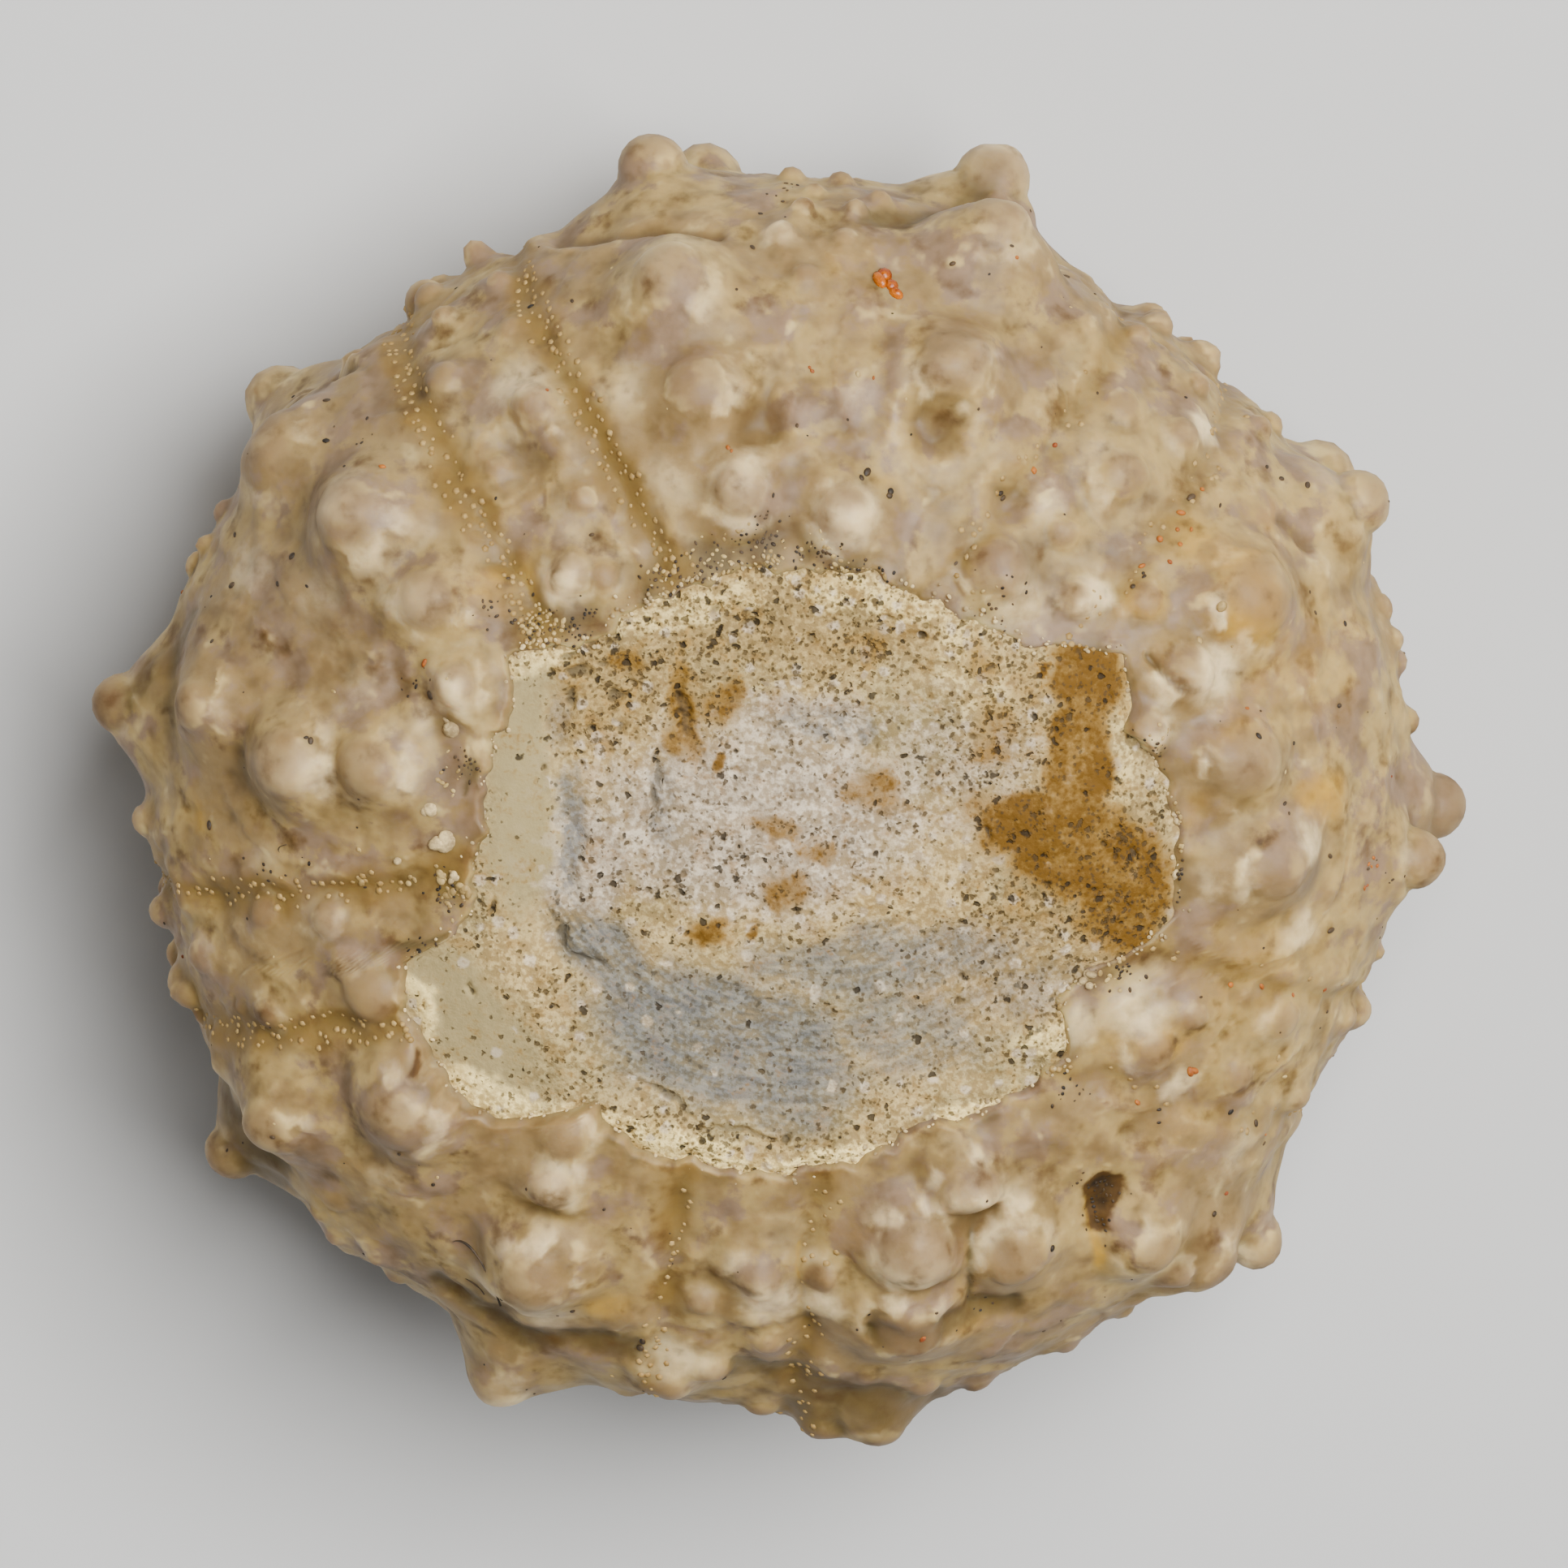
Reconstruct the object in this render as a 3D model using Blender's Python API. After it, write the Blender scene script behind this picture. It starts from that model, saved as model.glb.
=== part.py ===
"""Fossil sea urchin: the chalky test of a small regular urchin, mouth side up, with the stone that fills it.

Metres, +Z up. The test rests on its worn apex, whose flat face is z = 0, and the middle of its box is
x = y = 0. Places on the test are an azimuth, in degrees from +X towards +Y, and a colatitude, in degrees down
from the mouth pole, both seen from the middle of the ambitus, which is the test's widest level.
"""

import math
from dataclasses import dataclass

import bmesh
import bpy
import numpy as np

MM = 0.001

# The test without its tubercles: an oblate body, flatter on the mouth side
TEST_RADIUS = 9.06 * MM
ORAL_HEIGHT = 4.9 * MM  # from the ambitus to where the mouth side would close
ABORAL_HEIGHT = 6.2 * MM  # from the ambitus to where the apex would close
ORAL_POWER = 2.25  # 2 is an ellipse, and more is squarer
ABORAL_POWER = 2.1
REST_DEPTH = 5.8 * MM  # from the ambitus down to the worn flat face of the apex
FIVEFOLD_SWELL = 0.07 * MM  # how far the plates between two ambulacra bulge
LOPSIDED_SWELL = 0.16 * MM  # how far the whole outline leans to one side
LOPSIDED_AZIMUTH = 235.0
WALL = 0.9 * MM

# Ambulacra: five sunken bands from the mouth to the apex, each between two pore furrows
AMBULACRUM_AZIMUTHS = (49.0, 122.0, 193.5, 264.5, 335.5)
AMBULACRUM_HALF_WIDTH = 1.06 * MM  # to the middle of the pore furrow
AMBULACRUM_APEX_SHARE = 0.45  # how much of that width is left at the apex
AMBULACRUM_DEPTH = 0.10 * MM
FURROW_WIDTH = 0.2 * MM
FURROW_DEPTH = 0.08 * MM

# Big tubercles: azimuth, colatitude, then in mm the cone's foot radius, its height and the ball's radius.
# They stand in two columns between each two ambulacra, and those listed run from the mouth to past the ambitus.
BIG_TUBERCLES = (
    # Towards +Y
    (96, 54, 0.95, 0.20, 0.42), (100, 64, 1.10, 0.26, 0.48), (101, 74, 1.40, 0.42, 0.56),
    (101.5, 94, 1.60, 0.38, 0.48), (80, 52, 0.90, 0.18, 0.44), (71, 68, 1.30, 0.40, 0.56),
    (70.5, 83, 1.45, 0.56, 0.50), (71, 97, 1.45, 0.46, 0.52),
    # Towards -X and +Y
    (149, 52, 0.75, 0.20, 0.36), (142, 59, 1.0, 0.26, 0.48), (141, 69, 1.30, 0.42, 0.58),
    (165.5, 56.5, 1.1, 0.28, 0.52), (168.5, 64, 1.2, 0.40, 0.55), (167, 75, 1.2, 0.30, 0.40),
    (171.5, 88, 1.50, 0.50, 0.42),
    # Towards -X and -Y
    (214, 60, 1.20, 0.34, 0.58), (210, 73, 1.35, 0.38, 0.50), (213.5, 87, 1.50, 0.36, 0.40),
    (232, 49, 0.75, 0.16, 0.36), (235, 54, 0.90, 0.22, 0.40), (240, 63, 1.30, 0.42, 0.58),
    (244, 83, 1.50, 0.42, 0.52), (258.5, 74, 0.90, 0.20, 0.40),
    # Towards -Y and +X
    (300, 51.5, 0.95, 0.22, 0.48), (289, 55.5, 1.2, 0.38, 0.60), (284.5, 64, 1.4, 0.44, 0.54),
    (279, 82, 1.40, 0.50, 0.34), (273.5, 82, 1.1, 0.28, 0.36), (300, 61, 1.2, 0.34, 0.50),
    (312, 70, 1.2, 0.34, 0.44), (313.5, 79, 1.30, 0.40, 0.48), (316.5, 86, 1.40, 0.40, 0.40),
    # Towards +X
    (21.5, 54, 0.65, 0.16, 0.30), (26, 60, 0.95, 0.24, 0.44), (29.5, 69, 1.40, 0.40, 0.66),
    (28, 88, 1.50, 0.50, 0.45), (13, 62, 1.2, 0.26, 0.60), (359, 64, 1.20, 0.34, 0.50),
    (355.5, 84, 1.25, 0.30, 0.43), (358.5, 91, 1.50, 0.50, 0.46),
)  # fmt: skip
APEX_COLUMN_AZIMUTHS = (71, 97.5, 144.5, 171, 213, 244, 282, 315, 27.5, 357)
APEX_COLUMN_STEPS = ((106, 1.00), (120, 0.82), (132, 0.62), (142, 0.45), (150.5, 0.3))  # colatitude, size
FULL_CONE = 1.45 * MM
FULL_RISE = 0.50 * MM
FULL_BALL = 0.50 * MM
# How much of each ball stands out of its cone: most near the ambitus, where wear has taken least
WORN_SWEEP = math.radians(60)
FRESH_SWEEP = math.radians(98)
SMALL_WORN_SWEEP = math.radians(55)
SMALL_FRESH_SWEEP = math.radians(80)
WORN_ABOVE = 84  # degrees of colatitude

# Small tubercles and lumps: azimuth, colatitude and the ball's radius in mm
SMALL_TUBERCLES = (
    (117.5, 85, 0.20), (123.5, 84, 0.20), (118, 77.5, 0.20), (126, 76, 0.30), (118.5, 68, 0.40),
    (125.5, 65, 0.22), (125, 52, 0.34), (120.5, 50, 0.24), (118, 58, 0.22), (54, 84, 0.22),
    (46.5, 84, 0.22), (39, 86, 0.20), (52.5, 74, 0.30), (45.5, 76, 0.30), (48.5, 68, 0.42),
    (42.5, 56, 0.30), (36.5, 61, 0.30), (55, 53, 0.50), (50, 60, 0.26), (193, 77.5, 0.30),
    (187.5, 68, 0.28), (188, 61, 0.30), (194, 60, 0.30), (198.5, 58.5, 0.45), (199, 70, 0.28),
    (187, 79, 0.24), (198, 84, 0.26), (332, 57.5, 0.38), (340, 70, 0.34), (332.5, 68, 0.28),
    (338.5, 60, 0.24), (331, 79, 0.26), (339, 83, 0.26), (267, 58, 0.40), (275, 58, 0.30),
    (263, 71.5, 0.32), (268.5, 67, 0.24), (260, 62, 0.24), (268, 80, 0.26), (143.5, 83, 0.64),
    (310.5, 75, 0.34), (284, 76.5, 0.26),
    # Round the outline
    (89, 93, 0.20), (87, 88, 0.16), (84.5, 93, 0.20), (83, 84.5, 0.20), (81, 88, 0.18), (88, 84, 0.18),
    (90, 80, 0.24), (87.5, 75, 0.22), (84, 80, 0.18), (51.5, 95, 0.22), (45, 95, 0.20), (37, 94, 0.20),
    (17.5, 91, 0.20), (14.5, 90, 0.18), (12, 91, 0.20), (7, 89, 0.20), (158, 90, 0.22), (155.5, 88, 0.16),
    (152.5, 90, 0.20), (134, 93, 0.20), (126, 95, 0.34), (119.5, 96, 0.18), (181.5, 86, 0.24),
    (190.5, 87, 0.26), (197, 86, 0.30), (200, 84, 0.16), (221, 79, 0.16), (224, 80, 0.16),
    (227.5, 77, 0.16), (231, 82, 0.18), (288.5, 82, 0.24), (303.5, 83, 0.20), (305.5, 79, 0.18),
    (297.5, 82, 0.16), (339.5, 86, 0.30), (345.5, 86, 0.14),
)  # fmt: skip
SMALL_STEP = 7.5  # degrees of colatitude between an ambulacrum's small tubercles past the ambitus
SMALL_LAST = 152.0
SMALL_OFFSET = 0.45 * MM  # of each column from the ambulacrum's middle line

# Scars and broad dents: azimuth, colatitude, then in mm the radius and the depth
HOLLOWS = (
    (71, 62, 0.42, 0.24), (93, 60, 0.38, 0.20), (59, 60, 0.36, 0.18), (124, 59, 0.34, 0.16),
    (122, 54, 0.3, 0.14), (152, 74, 0.4, 0.1), (204, 59, 0.34, 0.14), (243, 74, 0.5, 0.2),
    (290, 75, 0.5, 0.24), (296, 56.5, 0.3, 0.14), (327, 64, 0.36, 0.16),
)  # fmt: skip
DENTS = (
    (60, 95, 1.2, 0.14), (113, 100, 1.0, 0.12), (132, 96, 1.0, 0.18), (155, 95, 1.3, 0.17),
    (234, 84, 1.1, 0.26), (220, 86, 0.8, 0.08), (325, 85, 0.8, 0.08), (298, 84, 1.4, 0.08),
)  # fmt: skip
HOLE = (310.5, 66, 0.44, 0.62)  # the deep hole beside the mouth

# The broken edge of the mouth: azimuth and radius in mm
MOUTH_RADIUS = 4.5 * MM  # where it isn't broken back
MOUTH_EDGE = (
    (3, 5.80), (12, 5.70), (22, 5.50), (32, 5.85), (41, 5.10), (52, 4.62), (70, 4.62), (85, 4.55),
    (106, 4.50), (122, 4.40), (132, 4.52), (140, 5.05), (147, 4.70), (160, 4.50), (176, 4.40),
    (188, 4.55), (192, 4.95), (195, 5.70), (205, 5.88), (219, 5.86), (225, 5.35), (232, 4.50),
    (242, 4.66), (262, 4.56), (278, 4.52), (296, 4.34), (307, 4.56), (319, 4.95), (326, 4.98),
    (333, 4.50), (341, 4.72), (348, 5.50), (355, 5.76),
)  # fmt: skip

# The stone fill
FILL_GAP = 0.06 * MM
FILL_DROP = 0.12 * MM  # of its surface below the broken edge
FILL_LEVEL = 4.42 * MM  # of its middle above the ambitus
FILL_RELIEF = (
    # Swells and dips: x, y, radius and rise in mm
    (1.2, 0.3, 2.0, 0.10), (-1.1, -2.4, 1.5, -0.22), (-0.2, 3.2, 1.0, -0.10), (3.6, -0.4, 1.1, -0.08),
)  # fmt: skip

SEGMENTS = 64
CAP_RINGS = 5
BODY_RINGS = 5
SHOULDER = math.radians(64)  # colatitude of the first whole ring under the mouth's broken edge
OPEN_TOP = 1.35  # how far past the test the cutter's top reaches
TEST_DETAIL = 7
TEST_TRIANGLES = 7900


@dataclass(frozen=True)
class Tubercle:
    """A spine boss: a low cone with a smooth ball on it, where the spine was hinged."""

    azimuth: float
    colatitude: float
    cone: float
    rise: float
    ball: float
    sweep: float  # radians of the ball's outline, from its top down to its neck


@dataclass(frozen=True)
class Body:
    """An oblate body about the ambitus, as deep as inset inside the test's own surface."""

    inset: float = 0.0

    def reach(self, azimuth, colatitude):
        """Distance from the middle of the ambitus to the surface."""
        across, along = np.sin(colatitude), np.cos(colatitude)
        oral = along >= 0
        height = np.where(oral, ORAL_HEIGHT, ABORAL_HEIGHT) - self.inset
        power = np.where(oral, ORAL_POWER, ABORAL_POWER)
        radius = TEST_RADIUS - self.inset
        level = (np.abs(across) / radius) ** power + (np.abs(along) / height) ** power
        plates = FIVEFOLD_SWELL * np.cos(5 * (azimuth - math.radians(AMBULACRUM_AZIMUTHS[0] + 36)))
        lean = LOPSIDED_SWELL * np.cos(azimuth - math.radians(LOPSIDED_AZIMUTH))
        return level ** (-1 / power) + (plates + lean) * np.abs(across) ** 3

    def points(self, azimuth, colatitude):
        """Points on the surface, the middle of the ambitus at the origin."""
        reach = self.reach(azimuth, colatitude)
        return np.stack(
            (
                reach * np.sin(colatitude) * np.cos(azimuth),
                reach * np.sin(colatitude) * np.sin(azimuth),
                reach * np.cos(colatitude),
            ),
            axis=-1,
        )

    def normals(self, azimuth, colatitude):
        """Outward directions at those points."""
        small = 1e-3
        down = self.points(azimuth, colatitude + small) - self.points(azimuth, colatitude - small)
        radial = np.stack((np.cos(azimuth), np.sin(azimuth), np.zeros_like(azimuth)), axis=-1)
        around = np.stack((-radial[..., 1], radial[..., 0], radial[..., 2]), axis=-1)
        outward = np.cross(down, around)
        return outward / np.linalg.norm(outward, axis=-1, keepdims=True)


def all_tubercles():
    """Every tubercle of the test, big and small."""
    found = [big_tubercle(a, c, cone * MM, rise * MM, ball * MM) for a, c, cone, rise, ball in BIG_TUBERCLES]
    for index, azimuth in enumerate(APEX_COLUMN_AZIMUTHS):
        for colatitude, size in APEX_COLUMN_STEPS:
            place = colatitude + (4.0 if index % 2 else 0.0)
            cone, rise, ball = FULL_CONE * size, FULL_RISE * size, FULL_BALL * size**0.8
            found.append(big_tubercle(azimuth, place, cone, rise, ball))
    for azimuth, colatitude, ball in SMALL_TUBERCLES:
        found.append(small_tubercle(azimuth, colatitude, ball * MM))
    for middle in AMBULACRUM_AZIMUTHS:
        colatitude, side = 92.0, 1
        while colatitude < SMALL_LAST:
            share = apex_share(math.radians(colatitude))
            radius = TEST_RADIUS * math.sin(math.radians(colatitude))
            offset = math.degrees(side * SMALL_OFFSET * share / radius)
            found.append(small_tubercle(middle + offset, colatitude, 0.26 * MM * share))
            colatitude += SMALL_STEP / 2
            side = -side
    return found


def big_tubercle(azimuth, colatitude, cone, rise, ball):
    sweep = WORN_SWEEP if colatitude < WORN_ABOVE else FRESH_SWEEP
    return Tubercle(azimuth, colatitude, cone, rise, ball, sweep)


def small_tubercle(azimuth, colatitude, ball):
    sweep = SMALL_WORN_SWEEP if colatitude < WORN_ABOVE else SMALL_FRESH_SWEEP
    return Tubercle(azimuth, colatitude, 2.0 * ball, 0.3 * ball, ball, sweep)


def apex_share(colatitude):
    """How much of its width an ambulacrum keeps: all of it at the mouth side, less towards the apex."""
    past = np.clip((colatitude - math.pi / 2) / (math.pi / 2), 0, 1)
    return 1 - (1 - AMBULACRUM_APEX_SHARE) * past


def higher(first, second, blend=0.12 * MM):
    """The larger of two heights, with the crease between them rounded."""
    near = np.maximum(blend - np.abs(first - second), 0) / blend
    return np.maximum(first, second) + near * near * blend / 4


def smooth_step(value):
    value = np.clip(value, 0, 1)
    return value * value * (3 - 2 * value)


def ambulacrum_relief(azimuth, colatitude, radius):
    """Depth of the five bands and of their pore furrows, as a height below zero."""
    height = np.zeros_like(azimuth)
    width = AMBULACRUM_HALF_WIDTH * apex_share(colatitude)
    for middle in AMBULACRUM_AZIMUTHS:
        turn = (azimuth - math.radians(middle) + math.pi) % (2 * math.pi) - math.pi
        across = np.abs(turn) * radius
        band = smooth_step((width + FURROW_WIDTH - across) / (2 * FURROW_WIDTH))
        furrow = np.exp(-(((across - width) / FURROW_WIDTH) ** 2))
        height = np.minimum(height, -AMBULACRUM_DEPTH * band - FURROW_DEPTH * furrow)
    return height


def raise_tubercles(points, normals, tubercles):
    """Cone heights along the normals, and the moves that turn each cone's top into a ball."""
    height = np.zeros(len(points))
    moves = np.zeros_like(points)
    body = Body()
    for tubercle in tubercles:
        azimuth, colatitude = math.radians(tubercle.azimuth), math.radians(tubercle.colatitude)
        foot = body.points(np.array(azimuth), np.array(colatitude))
        axis = body.normals(np.array(azimuth), np.array(colatitude))
        near = np.flatnonzero(((points - foot) ** 2).sum(axis=1) < (1.3 * tubercle.cone) ** 2)
        offset = points[near] - foot
        sideways = offset - (offset @ axis)[:, None] * axis
        distance = np.linalg.norm(sideways, axis=1) + 1e-9
        top = 1.05 * tubercle.ball
        fall = np.clip((distance - top) / (tubercle.cone - top), 0, 1)
        height[near] = higher(height[near], tubercle.rise * (1 - fall) ** 1.35 * (1 - fall**4))
        on_ball = distance < tubercle.ball
        turn = tubercle.sweep * distance[on_ball] / tubercle.ball
        radius = tubercle.ball / math.sin(tubercle.sweep)
        spread = radius * np.sin(turn) - distance[on_ball]
        lift = radius * (np.cos(turn) - math.cos(tubercle.sweep))
        direction = sideways[on_ball] / distance[on_ball][:, None]
        moves[near[on_ball]] += direction * spread[:, None] + axis * lift[:, None]
    return height, moves


def sink_scars(points, scars):
    """Depth of the hollows and the hole, as a height below zero. A fourth power gives a scar steep sides."""
    height = np.zeros(len(points))
    body = Body()
    for azimuth, colatitude, radius, depth in scars:
        foot = body.points(np.radians(azimuth), np.radians(colatitude))
        distance = np.linalg.norm(points - foot, axis=1) / (radius * MM)
        height -= depth * MM * np.exp(-(distance**4))
    return height


def named_object(name, mesh, collection):
    thing = bpy.data.objects.new(name, mesh)
    collection.objects.link(thing)
    return thing


def coordinates(mesh):
    flat = np.empty(len(mesh.vertices) * 3, np.float32)
    mesh.vertices.foreach_get("co", flat)
    return flat.reshape(-1, 3).astype(np.float64)


def set_coordinates(mesh, points):
    mesh.vertices.foreach_set("co", points.astype(np.float32).ravel())
    mesh.update()


def material(name, colour, roughness):
    made = bpy.data.materials.new(name)
    made.use_nodes = True
    shader = made.node_tree.nodes["Principled BSDF"]
    shader.inputs["Base Color"].default_value = (*colour, 1)
    shader.inputs["Roughness"].default_value = roughness
    shader.inputs["Metallic"].default_value = 0
    return made


def outer_test(collection):
    """The test's whole outside, its apex ground to the flat face it rests on."""
    ball = bmesh.new()
    bmesh.ops.create_icosphere(ball, subdivisions=TEST_DETAIL, radius=1)
    mesh = bpy.data.meshes.new("test")
    ball.to_mesh(mesh)
    ball.free()
    direction = coordinates(mesh)
    azimuth = np.arctan2(direction[:, 1], direction[:, 0])
    colatitude = np.arccos(np.clip(direction[:, 2], -1, 1))
    body = Body()
    points, normals = body.points(azimuth, colatitude), body.normals(azimuth, colatitude)
    cones, moves = raise_tubercles(points, normals, all_tubercles())
    bands = ambulacrum_relief(azimuth, colatitude, np.hypot(points[:, 0], points[:, 1]))
    height = cones + bands + sink_scars(points, (*HOLLOWS, *DENTS, HOLE))
    points = points + normals * height[:, None] + moves
    points[:, 2] += REST_DEPTH
    set_coordinates(mesh, points)
    whole = named_object("whole_test", mesh, collection)
    thinned = whole.modifiers.new("thin", "DECIMATE")
    thinned.ratio = TEST_TRIANGLES / len(mesh.polygons)
    final = bpy.data.meshes.new_from_object(whole.evaluated_get(bpy.context.evaluated_depsgraph_get()))
    bpy.data.objects.remove(whole)
    grind_flat(final)
    return named_object("test", final, collection)


def grind_flat(mesh):
    """Cuts off what is below z = 0 and closes the cuts with flat faces."""
    cut = bmesh.new()
    cut.from_mesh(mesh)
    bmesh.ops.bisect_plane(
        cut, geom=cut.verts[:] + cut.edges[:] + cut.faces[:], plane_no=(0, 0, -1), dist=1e-8, clear_outer=True
    )
    bmesh.ops.holes_fill(cut, edges=[edge for edge in cut.edges if edge.is_boundary])
    bmesh.ops.recalc_face_normals(cut, faces=cut.faces)
    cut.to_mesh(mesh)
    cut.free()


def mouth_radius(azimuth, clearance=0.0):
    """Radius of the broken edge, kept clear of it sideways too, where the edge runs in or out."""
    turns, radii = zip(*MOUTH_EDGE)
    side = 1.6 * clearance / MOUTH_RADIUS
    angles = [np.degrees(azimuth + turn) % 360 for turn in (-side, 0.0, side)]
    near = [np.interp(angle, turns, radii, period=360) for angle in angles]
    return np.min(near, axis=0) * MM - clearance


def oral_level(radius):
    """Height above the ambitus of the test's own surface, on the mouth side."""
    share = np.clip(radius / TEST_RADIUS, 0, 0.999)
    return ORAL_HEIGHT * (1 - share**ORAL_POWER) ** (1 / ORAL_POWER)


def fill_level(x, y):
    """Height above the ambitus of the stone's surface: level, and following the test at the edge."""
    level = np.minimum(FILL_LEVEL, oral_level(np.hypot(x, y)) - FILL_DROP)
    for middle_x, middle_y, radius, rise in FILL_RELIEF:
        distance = np.hypot(x - middle_x * MM, y - middle_y * MM) / (radius * MM)
        level = level + rise * MM * np.exp(-(distance**2))
    return level


def stopper(name, clearance, open_top, collection):
    """A body that fills the test and its mouth, smaller by the clearance. An open top runs out past it."""
    rings = CAP_RINGS + 1 + BODY_RINGS
    ball = bmesh.new()
    bmesh.ops.create_uvsphere(ball, u_segments=SEGMENTS, v_segments=rings, radius=1)
    # Split alike on every stopper, so that the clearance holds where a face isn't flat
    bmesh.ops.triangulate(ball, faces=ball.faces, quad_method="FIXED")
    mesh = bpy.data.meshes.new(name)
    ball.to_mesh(mesh)
    ball.free()
    direction = coordinates(mesh)
    azimuth = np.arctan2(direction[:, 1], direction[:, 0])
    ring = np.rint(np.arccos(np.clip(direction[:, 2], -1, 1)) / math.pi * rings)
    edge = mouth_radius(azimuth, clearance)
    rim = np.arctan2(edge, oral_level(edge + clearance))
    below = (ring - CAP_RINGS - 2) / (BODY_RINGS - 1)
    colatitude = np.where(below < 0, rim, SHOULDER + (math.pi - SHOULDER) * below)
    points = Body(WALL + clearance).points(azimuth, colatitude)
    cap = ring <= CAP_RINGS
    if open_top:
        reach = Body().reach(azimuth, rim) * OPEN_TOP
        radius, level = reach * np.sin(rim), reach * np.cos(rim)
    else:
        level = fill_level(edge * np.cos(azimuth), edge * np.sin(azimuth))
        radius = level * np.tan(rim)
    radius = radius * np.clip(ring / CAP_RINGS, 0, 1)
    x, y = radius * np.cos(azimuth), radius * np.sin(azimuth)
    top = np.stack((x, y, level if open_top else fill_level(x, y)), axis=-1)
    points[cap] = top[cap]
    points[:, 2] += REST_DEPTH
    set_coordinates(mesh, points)
    return named_object(name, mesh, collection)


def centre_box(things, measured):
    """Moves all the meshes sideways by one step, so that the measured one's box is centred on the Z axis."""
    points = coordinates(measured.data)
    middle = (points.max(axis=0) + points.min(axis=0)) / 2
    middle[2] = 0
    for thing in things:
        set_coordinates(thing.data, coordinates(thing.data) - middle)


def main():
    for thing in list(bpy.data.objects):
        bpy.data.objects.remove(thing)
    parts = bpy.data.collections.new("fossil_sea_urchin")
    cutters = bpy.data.collections.new("cutters")
    bpy.context.scene.collection.children.link(parts)
    bpy.context.scene.collection.children.link(cutters)

    test = outer_test(parts)
    fill = stopper("stone_fill", FILL_GAP, False, parts)
    hollow = stopper("hollow", 0.0, True, cutters)
    hollow.hide_render = True
    hollow.display_type = "WIRE"
    centre_box((test, fill, hollow), test)

    opened = test.modifiers.new("open the mouth", "BOOLEAN")
    opened.operation = "DIFFERENCE"
    opened.object = hollow
    test.data.materials.append(material("chalky_test", (0.62, 0.52, 0.41), 0.6))
    fill.data.materials.append(material("speckled_stone", (0.52, 0.47, 0.38), 0.9))
    for thing in (test, fill):
        thing.data.shade_smooth()


if __name__ == "__main__":
    main()
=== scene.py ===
"""A small fossil sea urchin, mouth side up, on a pale table.

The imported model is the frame: the chalky test of the urchin and the stone that fills it. This script stands
a finely modelled piece in the place of each, adds the granules of the pore zones, the grains, the dust
fibres and the crumbs along the broken mouth, and lights them softly from above.

Lengths are in metres. A place on the test is an azimuth, from +X towards +Y, and a colatitude down from the
mouth pole, seen from the middle of the ambitus, which is the test's widest level; both are in degrees in the
tables and in radians elsewhere. Marks are placed as they are seen along the line of sight: millimetres to
the right of that middle and above it.
"""

import logging
import math
import random
from dataclasses import dataclass, field
from enum import Enum
from typing import Callable, Union

import bmesh
import bpy
import numpy as np
from mathutils import Matrix, Quaternion, Vector, kdtree, noise

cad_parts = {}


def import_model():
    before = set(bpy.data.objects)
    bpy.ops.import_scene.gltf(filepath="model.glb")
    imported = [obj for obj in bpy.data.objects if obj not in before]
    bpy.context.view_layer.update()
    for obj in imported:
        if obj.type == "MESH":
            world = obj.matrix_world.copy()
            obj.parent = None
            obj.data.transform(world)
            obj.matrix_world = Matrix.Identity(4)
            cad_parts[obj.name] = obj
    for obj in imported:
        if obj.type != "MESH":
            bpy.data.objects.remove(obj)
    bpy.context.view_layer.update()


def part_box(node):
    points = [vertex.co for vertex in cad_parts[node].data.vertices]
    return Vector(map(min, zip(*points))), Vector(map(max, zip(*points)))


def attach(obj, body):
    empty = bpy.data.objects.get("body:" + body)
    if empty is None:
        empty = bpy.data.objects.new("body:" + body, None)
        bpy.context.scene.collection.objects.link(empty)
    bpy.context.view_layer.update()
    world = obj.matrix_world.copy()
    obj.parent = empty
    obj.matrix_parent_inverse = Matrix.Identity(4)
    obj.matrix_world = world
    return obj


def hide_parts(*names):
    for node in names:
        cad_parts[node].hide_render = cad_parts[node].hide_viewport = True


MM = 0.001
LOG = logging.getLogger("fossil")
BODY = "root"

Number = Union[float, "Value"]
Spot = tuple[float, float, float, float]
Colour = tuple[float, float, float]


# --------------------------------------------------------------------------------------------------
# Shapes and sizes
# --------------------------------------------------------------------------------------------------


class Pigment(Enum):
    """What is painted on the test, one point attribute for each."""

    WHITE = "white"  # bluish-white chalk, with painted highlights on crests and on the balls' flanks towards the mouth
    TAN = "tan"  # warm peach and tan of the cleaner calcite
    BROWN = "brown"  # warm brown dirt, and painted shade in the hollows
    OCHRE = "ochre"  # yellow stain
    GREY = "grey"  # pinkish-grey weathered patches, and broad painted shade over the upper left
    DEEP_SHADE = "deep_shade"  # painted shade, nearly black, deep in the hole and in deep cracks
    PORE = "pore"  # the brown pore zones
    OLIVE = "olive"  # greenish-brown dirt along the mouth, and painted shade near the outline and in grooves


class Bed(Enum):
    """What is painted on the stone fill, one point attribute for each."""

    SMOOTH = "smooth"  # plain fine-grained beige band
    WHITE = "white"  # bluish-white speckled middle
    OLIVE = "olive"  # olive-brown pitted band
    SLATE = "slate"  # grey-blue streaked hollow
    CREAM = "cream"  # bright crumbly rim
    RUST = "rust"  # orange-brown iron stain
    SHADE = "shade"  # grooves and steps


def smooth_step(value: np.ndarray) -> np.ndarray:
    """Eases 0 to 1 with flat ends."""
    value = np.clip(value, 0.0, 1.0)
    return value * value * (3.0 - 2.0 * value)


def higher(first: np.ndarray, second: np.ndarray, blend: float = 0.12 * MM) -> np.ndarray:
    """The larger of two heights, with the crease between them rounded.

    Args:
        first: Heights.
        second: Heights at the same points.
        blend: How near the two must be for the rounding to start.

    Returns:
        The blended heights.
    """
    near = np.maximum(blend - np.abs(first - second), 0.0) / blend
    return np.maximum(first, second) + near * near * blend / 4.0


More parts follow.
